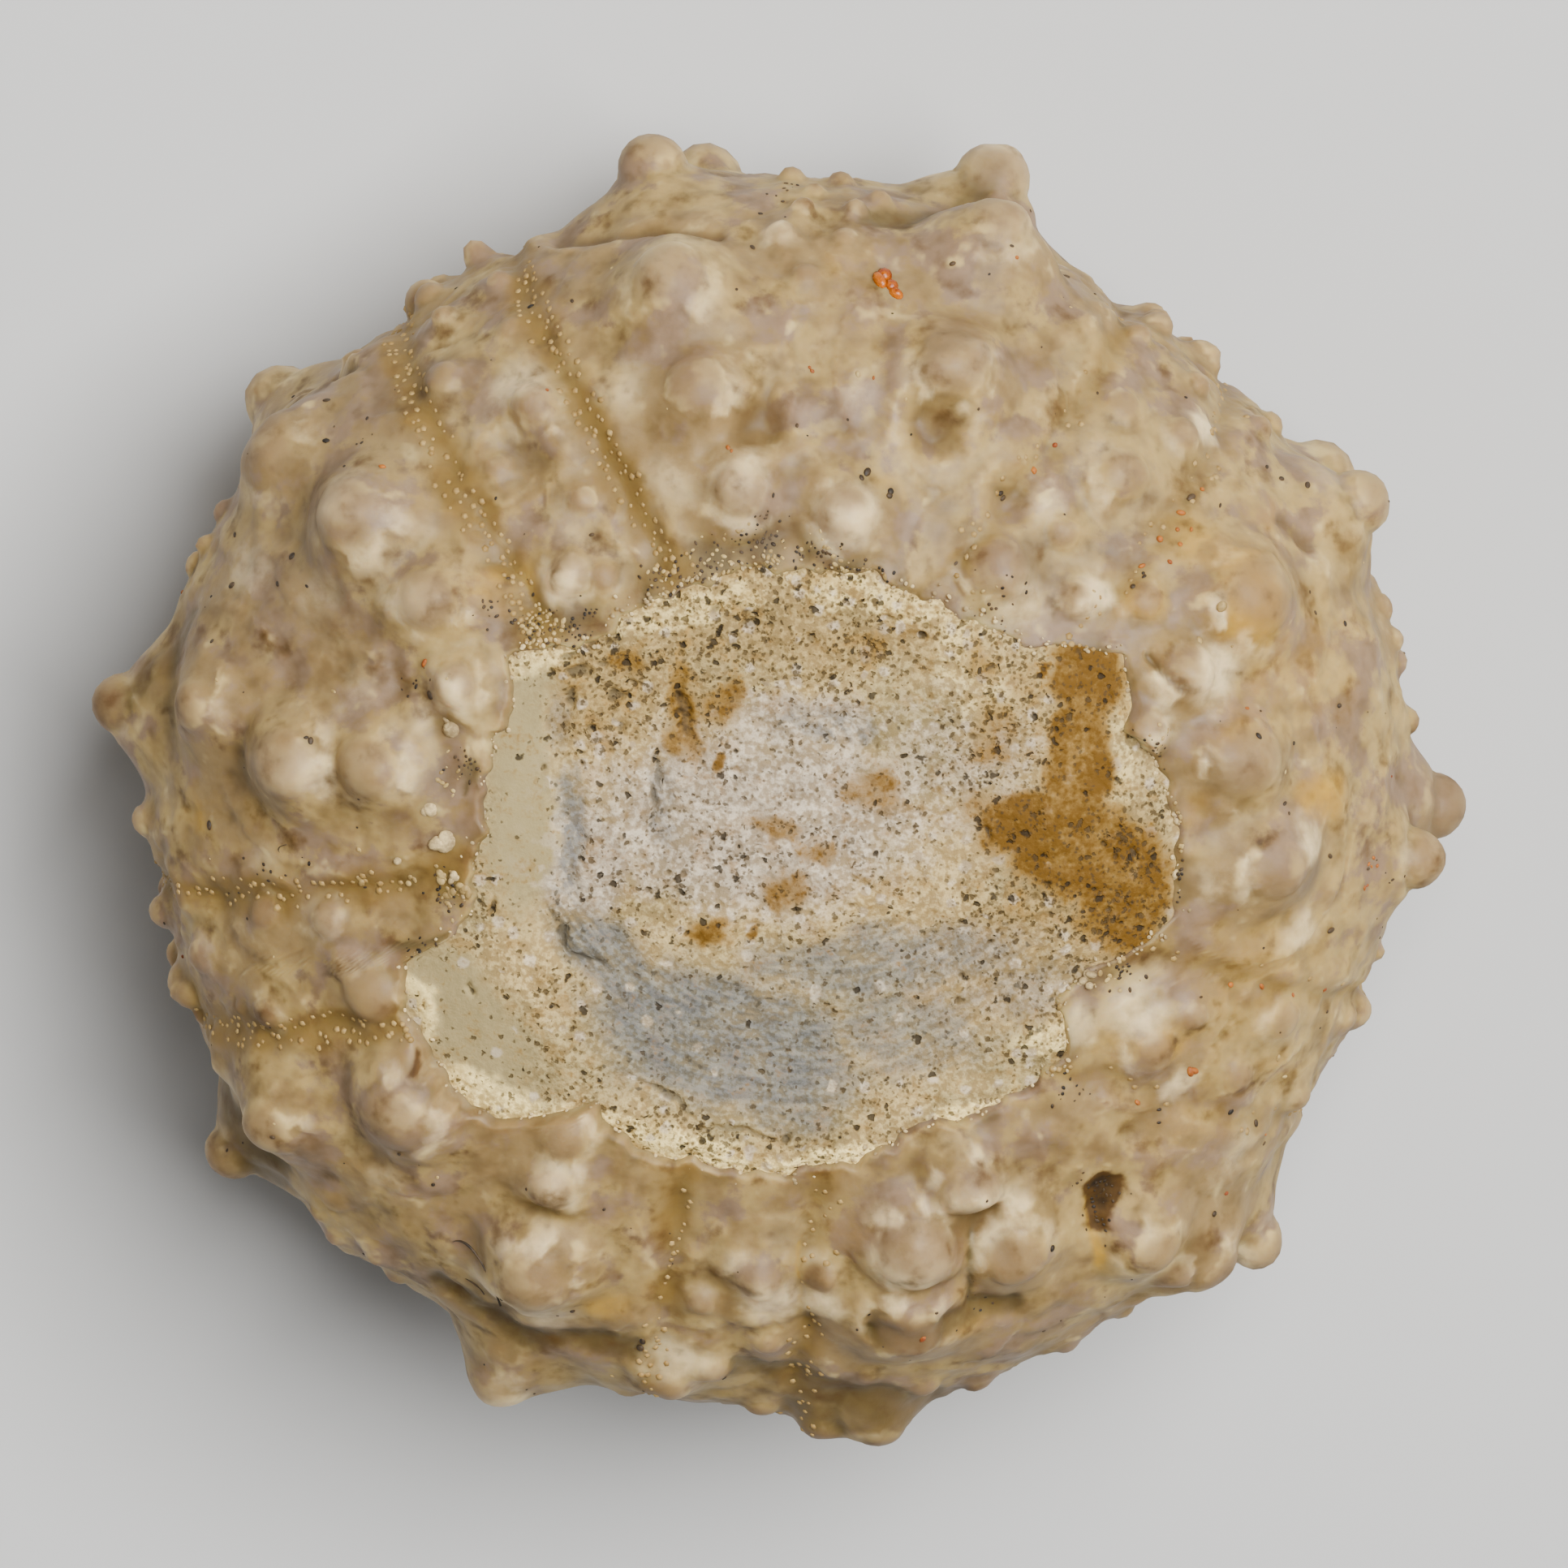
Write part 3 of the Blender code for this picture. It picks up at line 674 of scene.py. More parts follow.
    def unfold(self) -> tuple[np.ndarray, np.ndarray, np.ndarray]:
        """Turns the ball's directions into places on the cup.

        Returns:
            The azimuth, the colatitude on the outside, and whether each point is inside.
        """
        azimuth, polar = self.skin.azimuth, self.skin.polar
        edge = self.mouth.radius(azimuth)
        self.rim = np.arctan2(edge, self.body.oral_level(edge))
        top, down = math.cos(self.lip), np.cos(np.maximum(polar, self.lip))
        area = (top - down) / (1.0 + top)
        colatitude = np.arccos(np.clip(np.cos(self.rim) - area * (np.cos(self.rim) + 1.0), -1.0, 1.0))
        return azimuth, colatitude, polar < self.lip

    def inner_wall(self, azimuth: np.ndarray) -> np.ndarray:
        """Points of the inner wall, from the lip to the middle of the floor."""
        share = np.clip(self.skin.polar / self.lip, 0.0, 1.0)
        depth = np.clip((1.0 - share) / self.bend, 0.0, 1.0)
        floor = 1.0 - self.bend
        colatitude = self.rim + (math.pi - self.rim) * np.clip((floor - share) / floor, 0.0, 1.0)
        outside = self.body.points(azimuth, colatitude)
        inside = Body(inset=self.wall).points(azimuth, colatitude)
        return outside + (inside - outside) * depth[:, None]

    def near_mouth(self, reach: float) -> np.ndarray:
        """How near each point is to the broken edge: 1 on it, fading over this distance."""
        away = np.hypot(self.plain[:, 0], self.plain[:, 1]) - self.mouth.radius(self.skin.azimuth)
        return np.exp(-((np.maximum(away, 0.0) / reach) ** 2))

    def foot(self, across: float, above: float) -> np.ndarray:
        """The point of the plain body that is seen at a place in millimetres."""
        return self.sight.foot(self.plain, self.plain_normals, across * MM, above * MM)

    def apart(self, foot: np.ndarray, radius: float, waver: float = 0.0) -> np.ndarray:
        """Distance of each point from a place, in radii, with a share of the waves in it."""
        return np.linalg.norm(self.plain + waver * self.wander - foot, axis=1) / (radius * MM)

    def spots(self, spots: tuple[Spot, ...]) -> np.ndarray:
        """Soft round marks: across, above, radius in millimetres, and strength."""
        value = np.zeros(len(self.plain))
        for across, above, radius, strength in spots:
            apart = self.apart(self.foot(across, above), radius, 1.0)
            near = apart < self.spot_reach
            value[near] = np.maximum(value[near], strength * np.exp(-(apart[near] ** 2) * self.spot_fall))
        return value

    def pore_zones(self, across: np.ndarray, width: np.ndarray) -> np.ndarray:
        """How strongly each point belongs to a pore zone, faint in places."""
        waver = self.pore_waver * self.wander[:, 0]
        zone = np.exp(-(((across - width + waver) / self.pore_width) ** 2))
        patchy = self.pore_paint + self.patches.at(self.plain)
        return np.clip(zone * patchy * self.ambulacra.clear(self.skin.azimuth), 0.0, 1.0)

    def knobs(self) -> np.ndarray:
        """Small worn lumps strewn between the tubercles."""
        chance = random.Random(self.knob_seed)
        height = np.zeros(len(self.plain))
        for _ in range(self.knob_count):
            azimuth = chance.uniform(0.0, 2.0 * math.pi)
            colatitude = math.acos(chance.uniform(-self.knob_belt, self.knob_belt))
            radius = chance.uniform(*self.knob_radius)
            foot = self.body.points(np.array(azimuth), np.array(colatitude))
            apart = ((self.plain - foot) ** 2).sum(axis=1)
            near = np.flatnonzero(apart < (2.0 * radius) ** 2)
            rise = radius * chance.uniform(*self.knob_rise)
            height[near] = np.maximum(height[near], rise * np.exp(-(apart[near] / radius**2) ** 1.3))
        return height

    def cut_ledges(self) -> np.ndarray:
        """Grooves and ridges along lines, with their paint: painted shade along the grooves, a painted
        highlight along the ridges, and ochre stains along two lines.
        """
        height = np.zeros(len(self.plain))
        u, v = self.plain @ self.sight.right() / MM, self.plain @ self.sight.up() / MM
        u, v = u + self.ledge_waver * self.wander[:, 0] / MM, v + self.ledge_waver * self.wander[:, 1] / MM
        seen = smooth_step(4.0 * self.facing + 0.6)
        for ledge in self.ledges:
            line = seen * np.exp(-((ledge.apart(u, v) / ledge.width) ** 2))
            height += self.ledge_rise * ledge.rise * MM * line
            self.painted[ledge.pigment] = np.maximum(self.painted[ledge.pigment], ledge.strength * line)
        return height

    def craters(self) -> np.ndarray:
        """Rings with a pit in the middle."""
        height = np.zeros(len(self.plain))
        for across, above, radius, depth in self.rings:
            apart = self.apart(self.foot(across, above), radius)
            ring = self.ring_rise * np.exp(-(((apart - 1.0) / self.ring_width) ** 2))
            height += MM * (ring - depth * np.exp(-((apart / self.pit_radius) ** 3)))
        return height

    def holes(self) -> np.ndarray:
        """The deep hole beside the mouth, as a height below zero."""
        height = np.zeros(len(self.plain))
        for across, above, radius, depth in self.hole:
            apart = self.apart(self.foot(across, above), radius, self.hole_waver)
            height = np.minimum(height, -depth * MM * np.exp(-(apart**2)))
        return height

    def dips(self) -> np.ndarray:
        """Broad dents between the tubercles, as a height below zero."""
        height = np.zeros(len(self.plain))
        for azimuth, colatitude, radius, depth in self.dents:
            apart = self.apart(self.body.points(np.radians(azimuth), np.radians(colatitude)), radius)
            height -= depth * MM * np.exp(-(apart**4))
        return height

    def raise_tubercles(self) -> tuple[np.ndarray, np.ndarray, np.ndarray]:
        """Raises the cones, turns their tops into balls, and paints a pale ring round each ball, brightest as
        a painted highlight on its flank towards the mouth.

        Returns:
            The cones' heights, the moves that make the balls, and how much of a ball each point is.
        """
        height, balls, white = np.zeros((3, len(self.plain)))
        moves = np.zeros_like(self.plain)
        for tubercle in self.tubercles.big_ones() + self.tubercles.small_ones(self.ambulacra, self.body):
            place = np.radians(tubercle.azimuth), np.radians(tubercle.colatitude)
            foot, axis = self.body.points(*place), self.body.normals(*place)
            apart = ((self.plain - foot) ** 2).sum(axis=1)
            near = np.flatnonzero(apart < (self.cone_reach * tubercle.cone) ** 2)
            offset = self.plain[near] - foot
            sideways = offset - (offset @ axis)[:, None] * axis
            distance = np.linalg.norm(sideways, axis=1) + 1e-9
            top = self.cone_top * tubercle.ball
            fall = np.clip((distance - top) / (tubercle.cone - top), 0.0, 1.0)
            cone = tubercle.rise * (1.0 - fall) ** self.cone_power * (1.0 - fall**4)
            height[near] = higher(height[near], cone)
            on_ball = distance < tubercle.ball
            turn = tubercle.sweep * distance[on_ball] / tubercle.ball
            radius = tubercle.ball / math.sin(tubercle.sweep)
            spread = radius * np.sin(turn) - distance[on_ball]
            lift = radius * (np.cos(turn) - math.cos(tubercle.sweep))
            direction = sideways[on_ball] / distance[on_ball][:, None]
            moves[near[on_ball]] += direction * spread[:, None] + axis * lift[:, None]
            share = distance / tubercle.ball
            sharp, end = self.ball_paint
            balls[near] = np.maximum(balls[near], smooth_step(sharp * (end - share)))
            outward = foot * np.array((1.0, 1.0, 0.0)) / np.hypot(foot[0], foot[1])
            # A pale ring round the ball, with a painted highlight on its flank towards the mouth
            mouthward = 0.5 - 0.5 * (sideways @ outward) / distance
            ring = self.halo * np.exp(-(((share - self.halo_at) / self.halo_width) ** 2))
            ring = ring * min(1.0, tubercle.ball / self.halo_ball)
            patchy = smooth_step(0.5 + 2.0 * self.wander[near, 2] / self.wander_reach)
            ring = ring * patchy * (self.halo_behind + (1.0 - self.halo_behind) * mouthward)
            white[near] = np.maximum(white[near], ring)
        self.painted[Pigment.WHITE] = np.maximum(self.painted[Pigment.WHITE], white)
        return height, moves, balls

    def stands_out(self, height: np.ndarray, blurs: int, size: float) -> np.ndarray:
        """Height of each point over what is round it, in these sizes."""
        return (height - self.skin.blur(height, blurs)) / size

    def paint_relief(self, height: np.ndarray, balls: np.ndarray, sunk: np.ndarray) -> None:
        """Adds to the paint what follows from the relief: painted highlights on the crests, painted shade in
        the hollows, in the hole and towards the outline, the dirt along the broken edge and the tan of the
        balls.

        Args:
            height: Height of each point over the plain body.
            balls: How much of a ball each point is.
            sunk: Depth of the hole, below zero.
        """
        broad = self.stands_out(height, *self.broad_relief)
        close = self.stands_out(height, *self.close_relief)
        # How far each point stands out of its surroundings; the material paints a highlight on these crests
        # and shade below them
        self.skin.paint("crest", smooth_step(0.5 * broad) * 0.6 + 0.4 * smooth_step(close))
        hollow = smooth_step(-0.6 * broad)
        steep = self.plain_normals @ self.sight.up()
        edge_on = 1.0 - np.clip(self.facing, 0.0, 1.0)
        shadow = 0.1 + 0.6 * np.clip(-steep, 0.0, 1.0) + 0.3 * np.clip(steep, 0.0, 1.0)
        dirt = self.near_mouth(self.dirt_reach) * smooth_step(0.5 + self.wander[:, 1] / self.wander_reach)
        first, growth = self.hole_shade
        cleaner = 1.0 - 0.7 * smooth_step(2.0 * self.painted[Pigment.WHITE] - 1.2)
        for pigment, more in (
            # painted shade in the hollows of the relief
            (Pigment.BROWN, 0.55 * hollow),
            # painted shade in the hole, darker the deeper it goes
            (Pigment.DEEP_SHADE, smooth_step((-sunk / MM - first) / growth)),
            (Pigment.TAN, balls * cleaner),
            # dirt along the broken edge, and painted shade in hollows and towards the outline, strongest on
            # the faces turned down
            (Pigment.OLIVE, 0.8 * dirt + 0.75 * hollow * edge_on + shadow * edge_on),
        ):
            self.painted[pigment] = self.painted[pigment] + more

    def place(self, full: np.ndarray) -> None:
        """Centres the test's box on the frame's and writes its points."""
        low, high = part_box("test")
        middle = (full.max(axis=0) + full.min(axis=0)) / 2.0
        aside, along = (low.x + high.x) / 2.0 - middle[0], (low.y + high.y) / 2.0 - middle[1]
        self.shift = np.array((aside, along, 0.0))
        self.skin.write(full + self.shift)


class Seats:
    """Finds where a small thing sits on the finished test."""

    def __init__(self, test: FossilTest) -> None:
        """Sorts the points of the test's outside by where they lay on the plain body."""
        outside = test.skin.polar > test.lip
        plain = test.plain[outside]
        self.test, self.points, self.normals = test, test.skin.read()[outside], test.skin.normals()[outside]
        self.tree = kdtree.KDTree(len(plain))
        for index, place in enumerate(plain):
            self.tree.insert(place, index)
        self.tree.balance()

    def at(self, target: np.ndarray) -> tuple[Vector, Vector]:
        """The finished point nearest to a point of the plain body, and the outward direction there."""
        index = self.tree.find(target)[1]
        return Vector(self.points[index]), Vector(self.normals[index])

    def along(self, azimuth: float, colatitude: float) -> tuple[Vector, Vector]:
        """The same for an azimuth and a colatitude in radians."""
        return self.at(self.test.body.points(np.array(azimuth), np.array(colatitude)))

    def seen(self, across: float, above: float) -> tuple[Vector, Vector]:
        """The same for a place as it is seen, in millimetres."""
        return self.at(self.test.foot(across, above))


@dataclass
class PoreGranules:
    """The bright granules between the pores, in rows along each pore zone."""

    pitch: float = 0.18 * MM
    rows: tuple[float, ...] = (-0.18 * MM, -0.06 * MM, 0.06 * MM, 0.18 * MM)  # from the middle of the zone
    radius: float = 0.056 * MM
    height: float = 0.75  # of its radius
    sunk: float = 0.3  # of its radius
    jitter: float = 0.06 * MM
    lowest_place: float = 0.15 * MM  # above the table
    first: float = 0.02  # from the broken edge, in radians
    last: float = math.radians(150.0)
    seed: int = 5

    def build(self, seats: Seats, finish: bpy.types.Material) -> bpy.types.Object:
        """Makes the granules.

        Args:
            seats: The test that they grow on.
            finish: Their material.

        Returns:
            The piece.
        """
        scatter = Scatter("pore_granules", 1, self.seed)
        for middle in seats.test.ambulacra.azimuths:
            for side in (-1.0, 1.0):
                for row in self.rows:
                    self.add_row(scatter, seats, math.radians(middle), side, row)
        return scatter.finish(finish, "test")

    def add_row(self, scatter: Scatter, seats: Seats, middle: float, side: float, row: float) -> None:
        """Adds one row, from the broken mouth down to the apex, with gaps where it is worn away.

        Args:
            scatter: What the granules are added to.
            seats: The test that they grow on.
            middle: Azimuth of the band's middle line, in radians.
            side: Which of the band's two pore zones: -1 or 1.
            row: Distance from the middle of the zone.
        """
        test, chance = seats.test, scatter.chance
        azimuth = np.array(middle)
        edge = test.mouth.radius(azimuth)
        clear = float(test.ambulacra.clear(azimuth))
        colatitude = float(np.arctan2(edge, test.body.oral_level(edge))) + self.first
        gap = chance.uniform(0.0, 100.0)
        while colatitude < self.last:
            radius = float(test.body.reach(azimuth, np.array(colatitude))) * math.sin(colatitude)
            share = float(test.ambulacra.share(np.array(colatitude)))
            turn = side * (test.ambulacra.half_width * share + row) / radius
            colatitude += self.pitch * chance.uniform(0.75, 1.25) / test.body.radius
            worn = noise.noise((colatitude * 9.0, gap, middle * 3.0))
            if worn > 0.6 * clear - 0.32 or chance.random() > 0.8 * clear + 0.1:
                continue
            aside = chance.uniform(-1.0, 1.0) * self.jitter / radius
            place, outward = seats.along(middle + turn + aside, colatitude)
            if place.z < self.lowest_place:
                continue
            size = self.radius * chance.uniform(0.6, 1.2)
            place -= outward * self.sunk * size
            scatter.add(place, outward, Vector((size, size, self.height * size)), chance.uniform(0.0, 6.0))


@dataclass
class Grains:
    """Loose specks on the test: those at known places, and others strewn all over it."""

    name: str
    placed: tuple[Spot, ...]  # across, above, radius in millimetres, and how many lie there
    strewn: int
    radius: tuple[float, float]
    seed: int
    height: float = 0.5  # of its radius
    clouds: tuple[Spot, ...] = ()  # across, above and reach in millimetres, and how many
    belt: tuple[float, float] = (-0.93, 0.62)  # cosines of the colatitudes between which they are strewn
    lowest_place: float = 0.15 * MM  # above the table

    def build(self, seats: Seats, finish: bpy.types.Material) -> bpy.types.Object:
        """Makes the grains.

        Args:
            seats: The test that they lie on.
            finish: Their material.

        Returns:
            The piece.
        """
        scatter = Scatter(self.name, 2, self.seed)
        chance = scatter.chance
        for across, above, radius, count in self.placed:
            for _ in range(int(count)):
                apart = radius * math.sqrt(count - 1.0) * 0.9
                aside = across + chance.uniform(-apart, apart)
                seat = seats.seen(aside, above + chance.uniform(-apart, apart))
                self.add(scatter, seat, radius * MM * chance.uniform(0.8, 1.2))
        for across, above, reach, count in self.clouds:
            for _ in range(int(count)):
                aside = chance.gauss(across, 0.5 * reach)
                seat = seats.seen(aside, chance.gauss(above, 0.5 * reach))
                self.add(scatter, seat, chance.uniform(*self.radius))
        for _ in range(self.strewn):
            azimuth = chance.uniform(0.0, 2.0 * math.pi)
            seat = seats.along(azimuth, math.acos(chance.uniform(*self.belt)))
            self.add(scatter, seat, chance.uniform(*self.radius))
        return scatter.finish(finish, "test")

    def add(self, scatter: Scatter, seat: tuple[Vector, Vector], size: float) -> None:
        """Adds one grain, longer than it is wide, half sunk in the surface."""
        chance = scatter.chance
        place, outward = seat
        long, wide = size * chance.uniform(0.8, 1.5), size * chance.uniform(0.7, 1.0)
        turn = chance.uniform(0.0, 6.0)
        if place.z > self.lowest_place:
            scatter.add(place, outward, Vector((long, wide, size * self.height)), turn)


@dataclass
class Fibres:
    """Fine dust fibres lying on the test: curves from start by middle to end, and their half thicknesses."""

    curves: tuple[tuple[tuple[float, float], ...], ...]
    thickness: tuple[float, ...]
    joints: int = 14
    sides: int = 6
    lift: float = 0.07 * MM

    def build(self, seats: Seats, finish: bpy.types.Material) -> bpy.types.Object:
        """Makes the fibres.

        Args:
            seats: The test that they lie on.
            finish: Their material.

        Returns:
            The piece.
        """
        cluster = bmesh.new()
        for curve, thickness in zip(self.curves, self.thickness):
            on_test = [seats.seen(across, above) for across, above in curve]
            self.add(cluster, [place + outward * self.lift for place, outward in on_test], thickness * MM)
        return dress(joined("dust_fibres", cluster), finish)

    def add(self, cluster: bmesh.types.BMesh, places: list[Vector], thickness: float) -> None:
        """Bends a thin rod through three places, tapering to both its ends."""
        start, middle, end = places
        middle = middle * 2.0 - (start + end) * 0.5
        for joint in range(self.joints + 1):
            share = joint / self.joints
            left = 1.0 - share
            place = start * left**2 + middle * 2.0 * share * left + end * share**2
            along = ((middle - start) * left + (end - middle) * share).normalized()
            size = thickness * (0.25 + 0.75 * math.sin(math.pi * min(share * 1.3, 1.0 - 0.25 * share)))
            capped = joint in (0, self.joints)
            ring = bmesh.ops.create_circle(cluster, segments=self.sides, radius=size, cap_ends=capped)
            turn = along.to_track_quat("Z", "Y").to_matrix().to_4x4()
            bmesh.ops.transform(cluster, matrix=Matrix.Translation(place) @ turn, verts=ring["verts"])
            if joint:
                edges = [edge for edge in cluster.edges if edge.is_boundary or edge.is_wire]
                bmesh.ops.bridge_loops(cluster, edges=edges)
        bmesh.ops.recalc_face_normals(cluster, faces=cluster.faces)


# --------------------------------------------------------------------------------------------------
# The stone fill
# --------------------------------------------------------------------------------------------------


@dataclass
class StoneFill:
    """The sediment that fills the test: its face in the mouth, and the body behind it."""

    patches: dict[Bed, tuple[tuple[float, ...], ...]]
    body: Body = field(default_factory=Body)
    mouth: Mouth = field(default_factory=Mouth)
    sight: Sight = field(default_factory=Sight)
    detail: int = 7
    wall: float = 0.96 * MM
    tuck: float = 0.05 * MM  # how far its face runs under the broken edge
    drop: float = 0.09 * MM  # of the face under the test
    level: float = 4.42 * MM  # of the face's middle, above the ambitus
    face: float = math.radians(85.0)  # polar angle on the ball where the face ends
    bend: float = 0.1  # share of the body on which it leaves the face for the wall
    calm: float = 0.06  # share of the face along its edge that stays even
    # Waves in the beds' outlines, across and above; the shares are in millimetres
    aside: tuple[Layer, ...] = (Layer(0.9 * MM, 3, 41.0, 0.20), Layer(0.2 * MM, 2, 47.0, 0.05))
    upward: tuple[Layer, ...] = (Layer(0.9 * MM, 3, 53.0, 0.20), Layer(0.2 * MM, 2, 59.0, 0.05))
    bed_reach: float = 1.45  # of its ellipse, where a bed ends
    # Relief of the face; the shares are in millimetres
    swell: Layer = Layer(1.7 * MM, 2, 61.0, 0.05)
    crumb: Layer = Layer(0.34 * MM, 3, 67.0, 0.035)
    grain: Layer = Layer(0.13 * MM, 2, 71.0, 0.02)
    smooth_calm: float = 0.8  # share of the crumbs and grains that a bed lacks
    slate_calm: float = 0.35
    bed_rise: tuple[tuple[Bed, float], ...] = ((Bed.CREAM, 0.06), (Bed.SLATE, -0.10), (Bed.SHADE, -0.09))
    pit_count: int = 1300
    pit_room: float = 6.0 * MM  # how far from the middle they are strewn
    pit_radius: tuple[float, float] = (0.022, 0.05)  # the least, and how much larger they get
    pit_depth: float = 0.07
    seed: int = 12

    def build(self, shift: np.ndarray, finish: bpy.types.Material) -> bpy.types.Object:
        """Makes the stone.

        Args:
            shift: How far the test was moved sideways.
            finish: The stone's material.

        Returns:
            The piece.
        """
        skin = Skin("stone_surface", self.detail, lambda way: way.z > math.cos(self.face))
        azimuth, polar = skin.azimuth, skin.polar
        on_face = polar <= self.face
        share = np.sqrt(np.clip((1.0 - np.cos(polar)) / (1.0 - math.cos(self.face)), 0.0, 1.0))
        points = np.where(on_face[:, None], *self.face_and_body(azimuth, polar, share))
        across, above = points @ self.sight.right(), points @ self.sight.up()
        painted = self.paint_beds(points, across, above)
        pits = self.pits(across, above, painted)
        height = self.relief(points, painted, pits) * np.clip((1.0 - share) / self.calm, 0.0, 1.0)
        points[:, 2] += np.where(on_face, height, 0.0) + self.body.rest_depth
        skin.write(points + shift)
        for bed, values in painted.items():
            skin.paint(bed.value, values)
        skin.paint("pit", pits)
        return dress(skin.mesh, finish)

    def face_and_body(
        self, azimuth: np.ndarray, polar: np.ndarray, share: np.ndarray
    ) -> tuple[np.ndarray, np.ndarray]:
        """Points of the plain face, and of the body that runs from its edge along the test's inner wall.

        Args:
            azimuth: Of each point.
            polar: Its polar angle on the ball.
            share: Its distance from the middle of the face, as a share of the edge's.

        Returns:
            The points as if all were on the face, and as if all were on the body.
        """
        edge = self.mouth.radius(azimuth)
        rim = np.arctan2(edge, self.body.oral_level(edge))
        radius = (edge + self.tuck) * share
        x, y = radius * np.cos(azimuth), radius * np.sin(azimuth)
        level = np.minimum(self.level, self.body.oral_level(np.hypot(x, y)) - self.drop)
        below = np.clip((polar - self.face) / (math.pi - self.face), 0.0, 1.0)
        colatitude = rim + (math.pi - rim) * np.clip((below - self.bend) / (1.0 - self.bend), 0.0, 1.0)
        wall = Body(inset=self.wall).points(azimuth, colatitude)
        depth = np.clip(below / self.bend, 0.0, 1.0)[:, None]
        brink = np.stack((np.cos(azimuth) * edge, np.sin(azimuth) * edge, level), axis=-1)
        return np.stack((x, y, level), axis=-1), brink + (wall - brink) * depth

    def paint_beds(self, points: np.ndarray, across: np.ndarray, above: np.ndarray) -> dict[Bed, np.ndarray]:
        """How much of each bed every point shows, from turned ellipses with ragged edges."""
        u = across / MM + sum(layer.at(points) for layer in self.aside)
        v = above / MM + sum(layer.at(points) for layer in self.upward)
        painted = {bed: np.zeros(len(points)) for bed in Bed}
        for bed, patches in self.patches.items():
            for middle_u, middle_v, long, wide, turn, strength in patches:
                cos, sin = math.cos(math.radians(turn)), math.sin(math.radians(turn))
                along = ((u - middle_u) * cos + (v - middle_v) * sin) / long
                beside = ((v - middle_v) * cos - (u - middle_u) * sin) / wide
                shown = strength * smooth_step(self.bed_reach - np.hypot(along, beside))
                painted[bed] = np.maximum(painted[bed], shown)
        return painted

    def pits(self, across: np.ndarray, above: np.ndarray, painted: dict[Bed, np.ndarray]) -> np.ndarray:
        """Scatters pits over the face, few of them where it is smooth.

        Args:
            across: Distance of each point to the right.
            above: Distance of each point upwards.
            painted: The beds.

        Returns:
            How deep in a pit each point is.
        """
        chance = random.Random(self.seed)
        pit = np.zeros(len(across))
        least, more = self.pit_radius
        for _ in range(self.pit_count):
            u = chance.uniform(-self.pit_room, self.pit_room)
            v = chance.uniform(-self.pit_room, self.pit_room)
            radius = MM * (least + more * chance.random() ** 3)
            stretch, turn = chance.uniform(0.6, 1.0), chance.uniform(0.0, math.pi)
            chosen = chance.random()
            near = np.flatnonzero((np.abs(across - u) < 2.0 * radius) & (np.abs(above - v) < 2.0 * radius))
            if len(near) == 0:
                continue
            smooth, slate, olive = (painted[bed][near].mean() for bed in (Bed.SMOOTH, Bed.SLATE, Bed.OLIVE))
            if chosen > (1.0 - smooth - 0.6 * slate) * (0.25 + 0.9 * olive):
                continue
            aside, up = across[near] - u, above[near] - v
            along = aside * math.cos(turn) + up * math.sin(turn)
            beside = (up * math.cos(turn) - aside * math.sin(turn)) / stretch
            pit[near] = np.maximum(pit[near], np.exp(-((np.hypot(along, beside) / radius) ** 4)))
        return pit

    def relief(self, points: np.ndarray, painted: dict[Bed, np.ndarray], pits: np.ndarray) -> np.ndarray:
        """Height of the face over its plain level: crumbly, smoother on the plain band, with pits."""
        rough = 1.0 - self.smooth_calm * np.clip(painted[Bed.SMOOTH], 0.0, 1.0)
        rough = rough - self.slate_calm * painted[Bed.SLATE]
        height = self.swell.at(points) + rough * (self.crumb.at(points) + np.abs(self.grain.at(points)))
        height += sum(rise * painted[bed] for bed, rise in self.bed_rise)
        return MM * (height - self.pit_depth * pits)


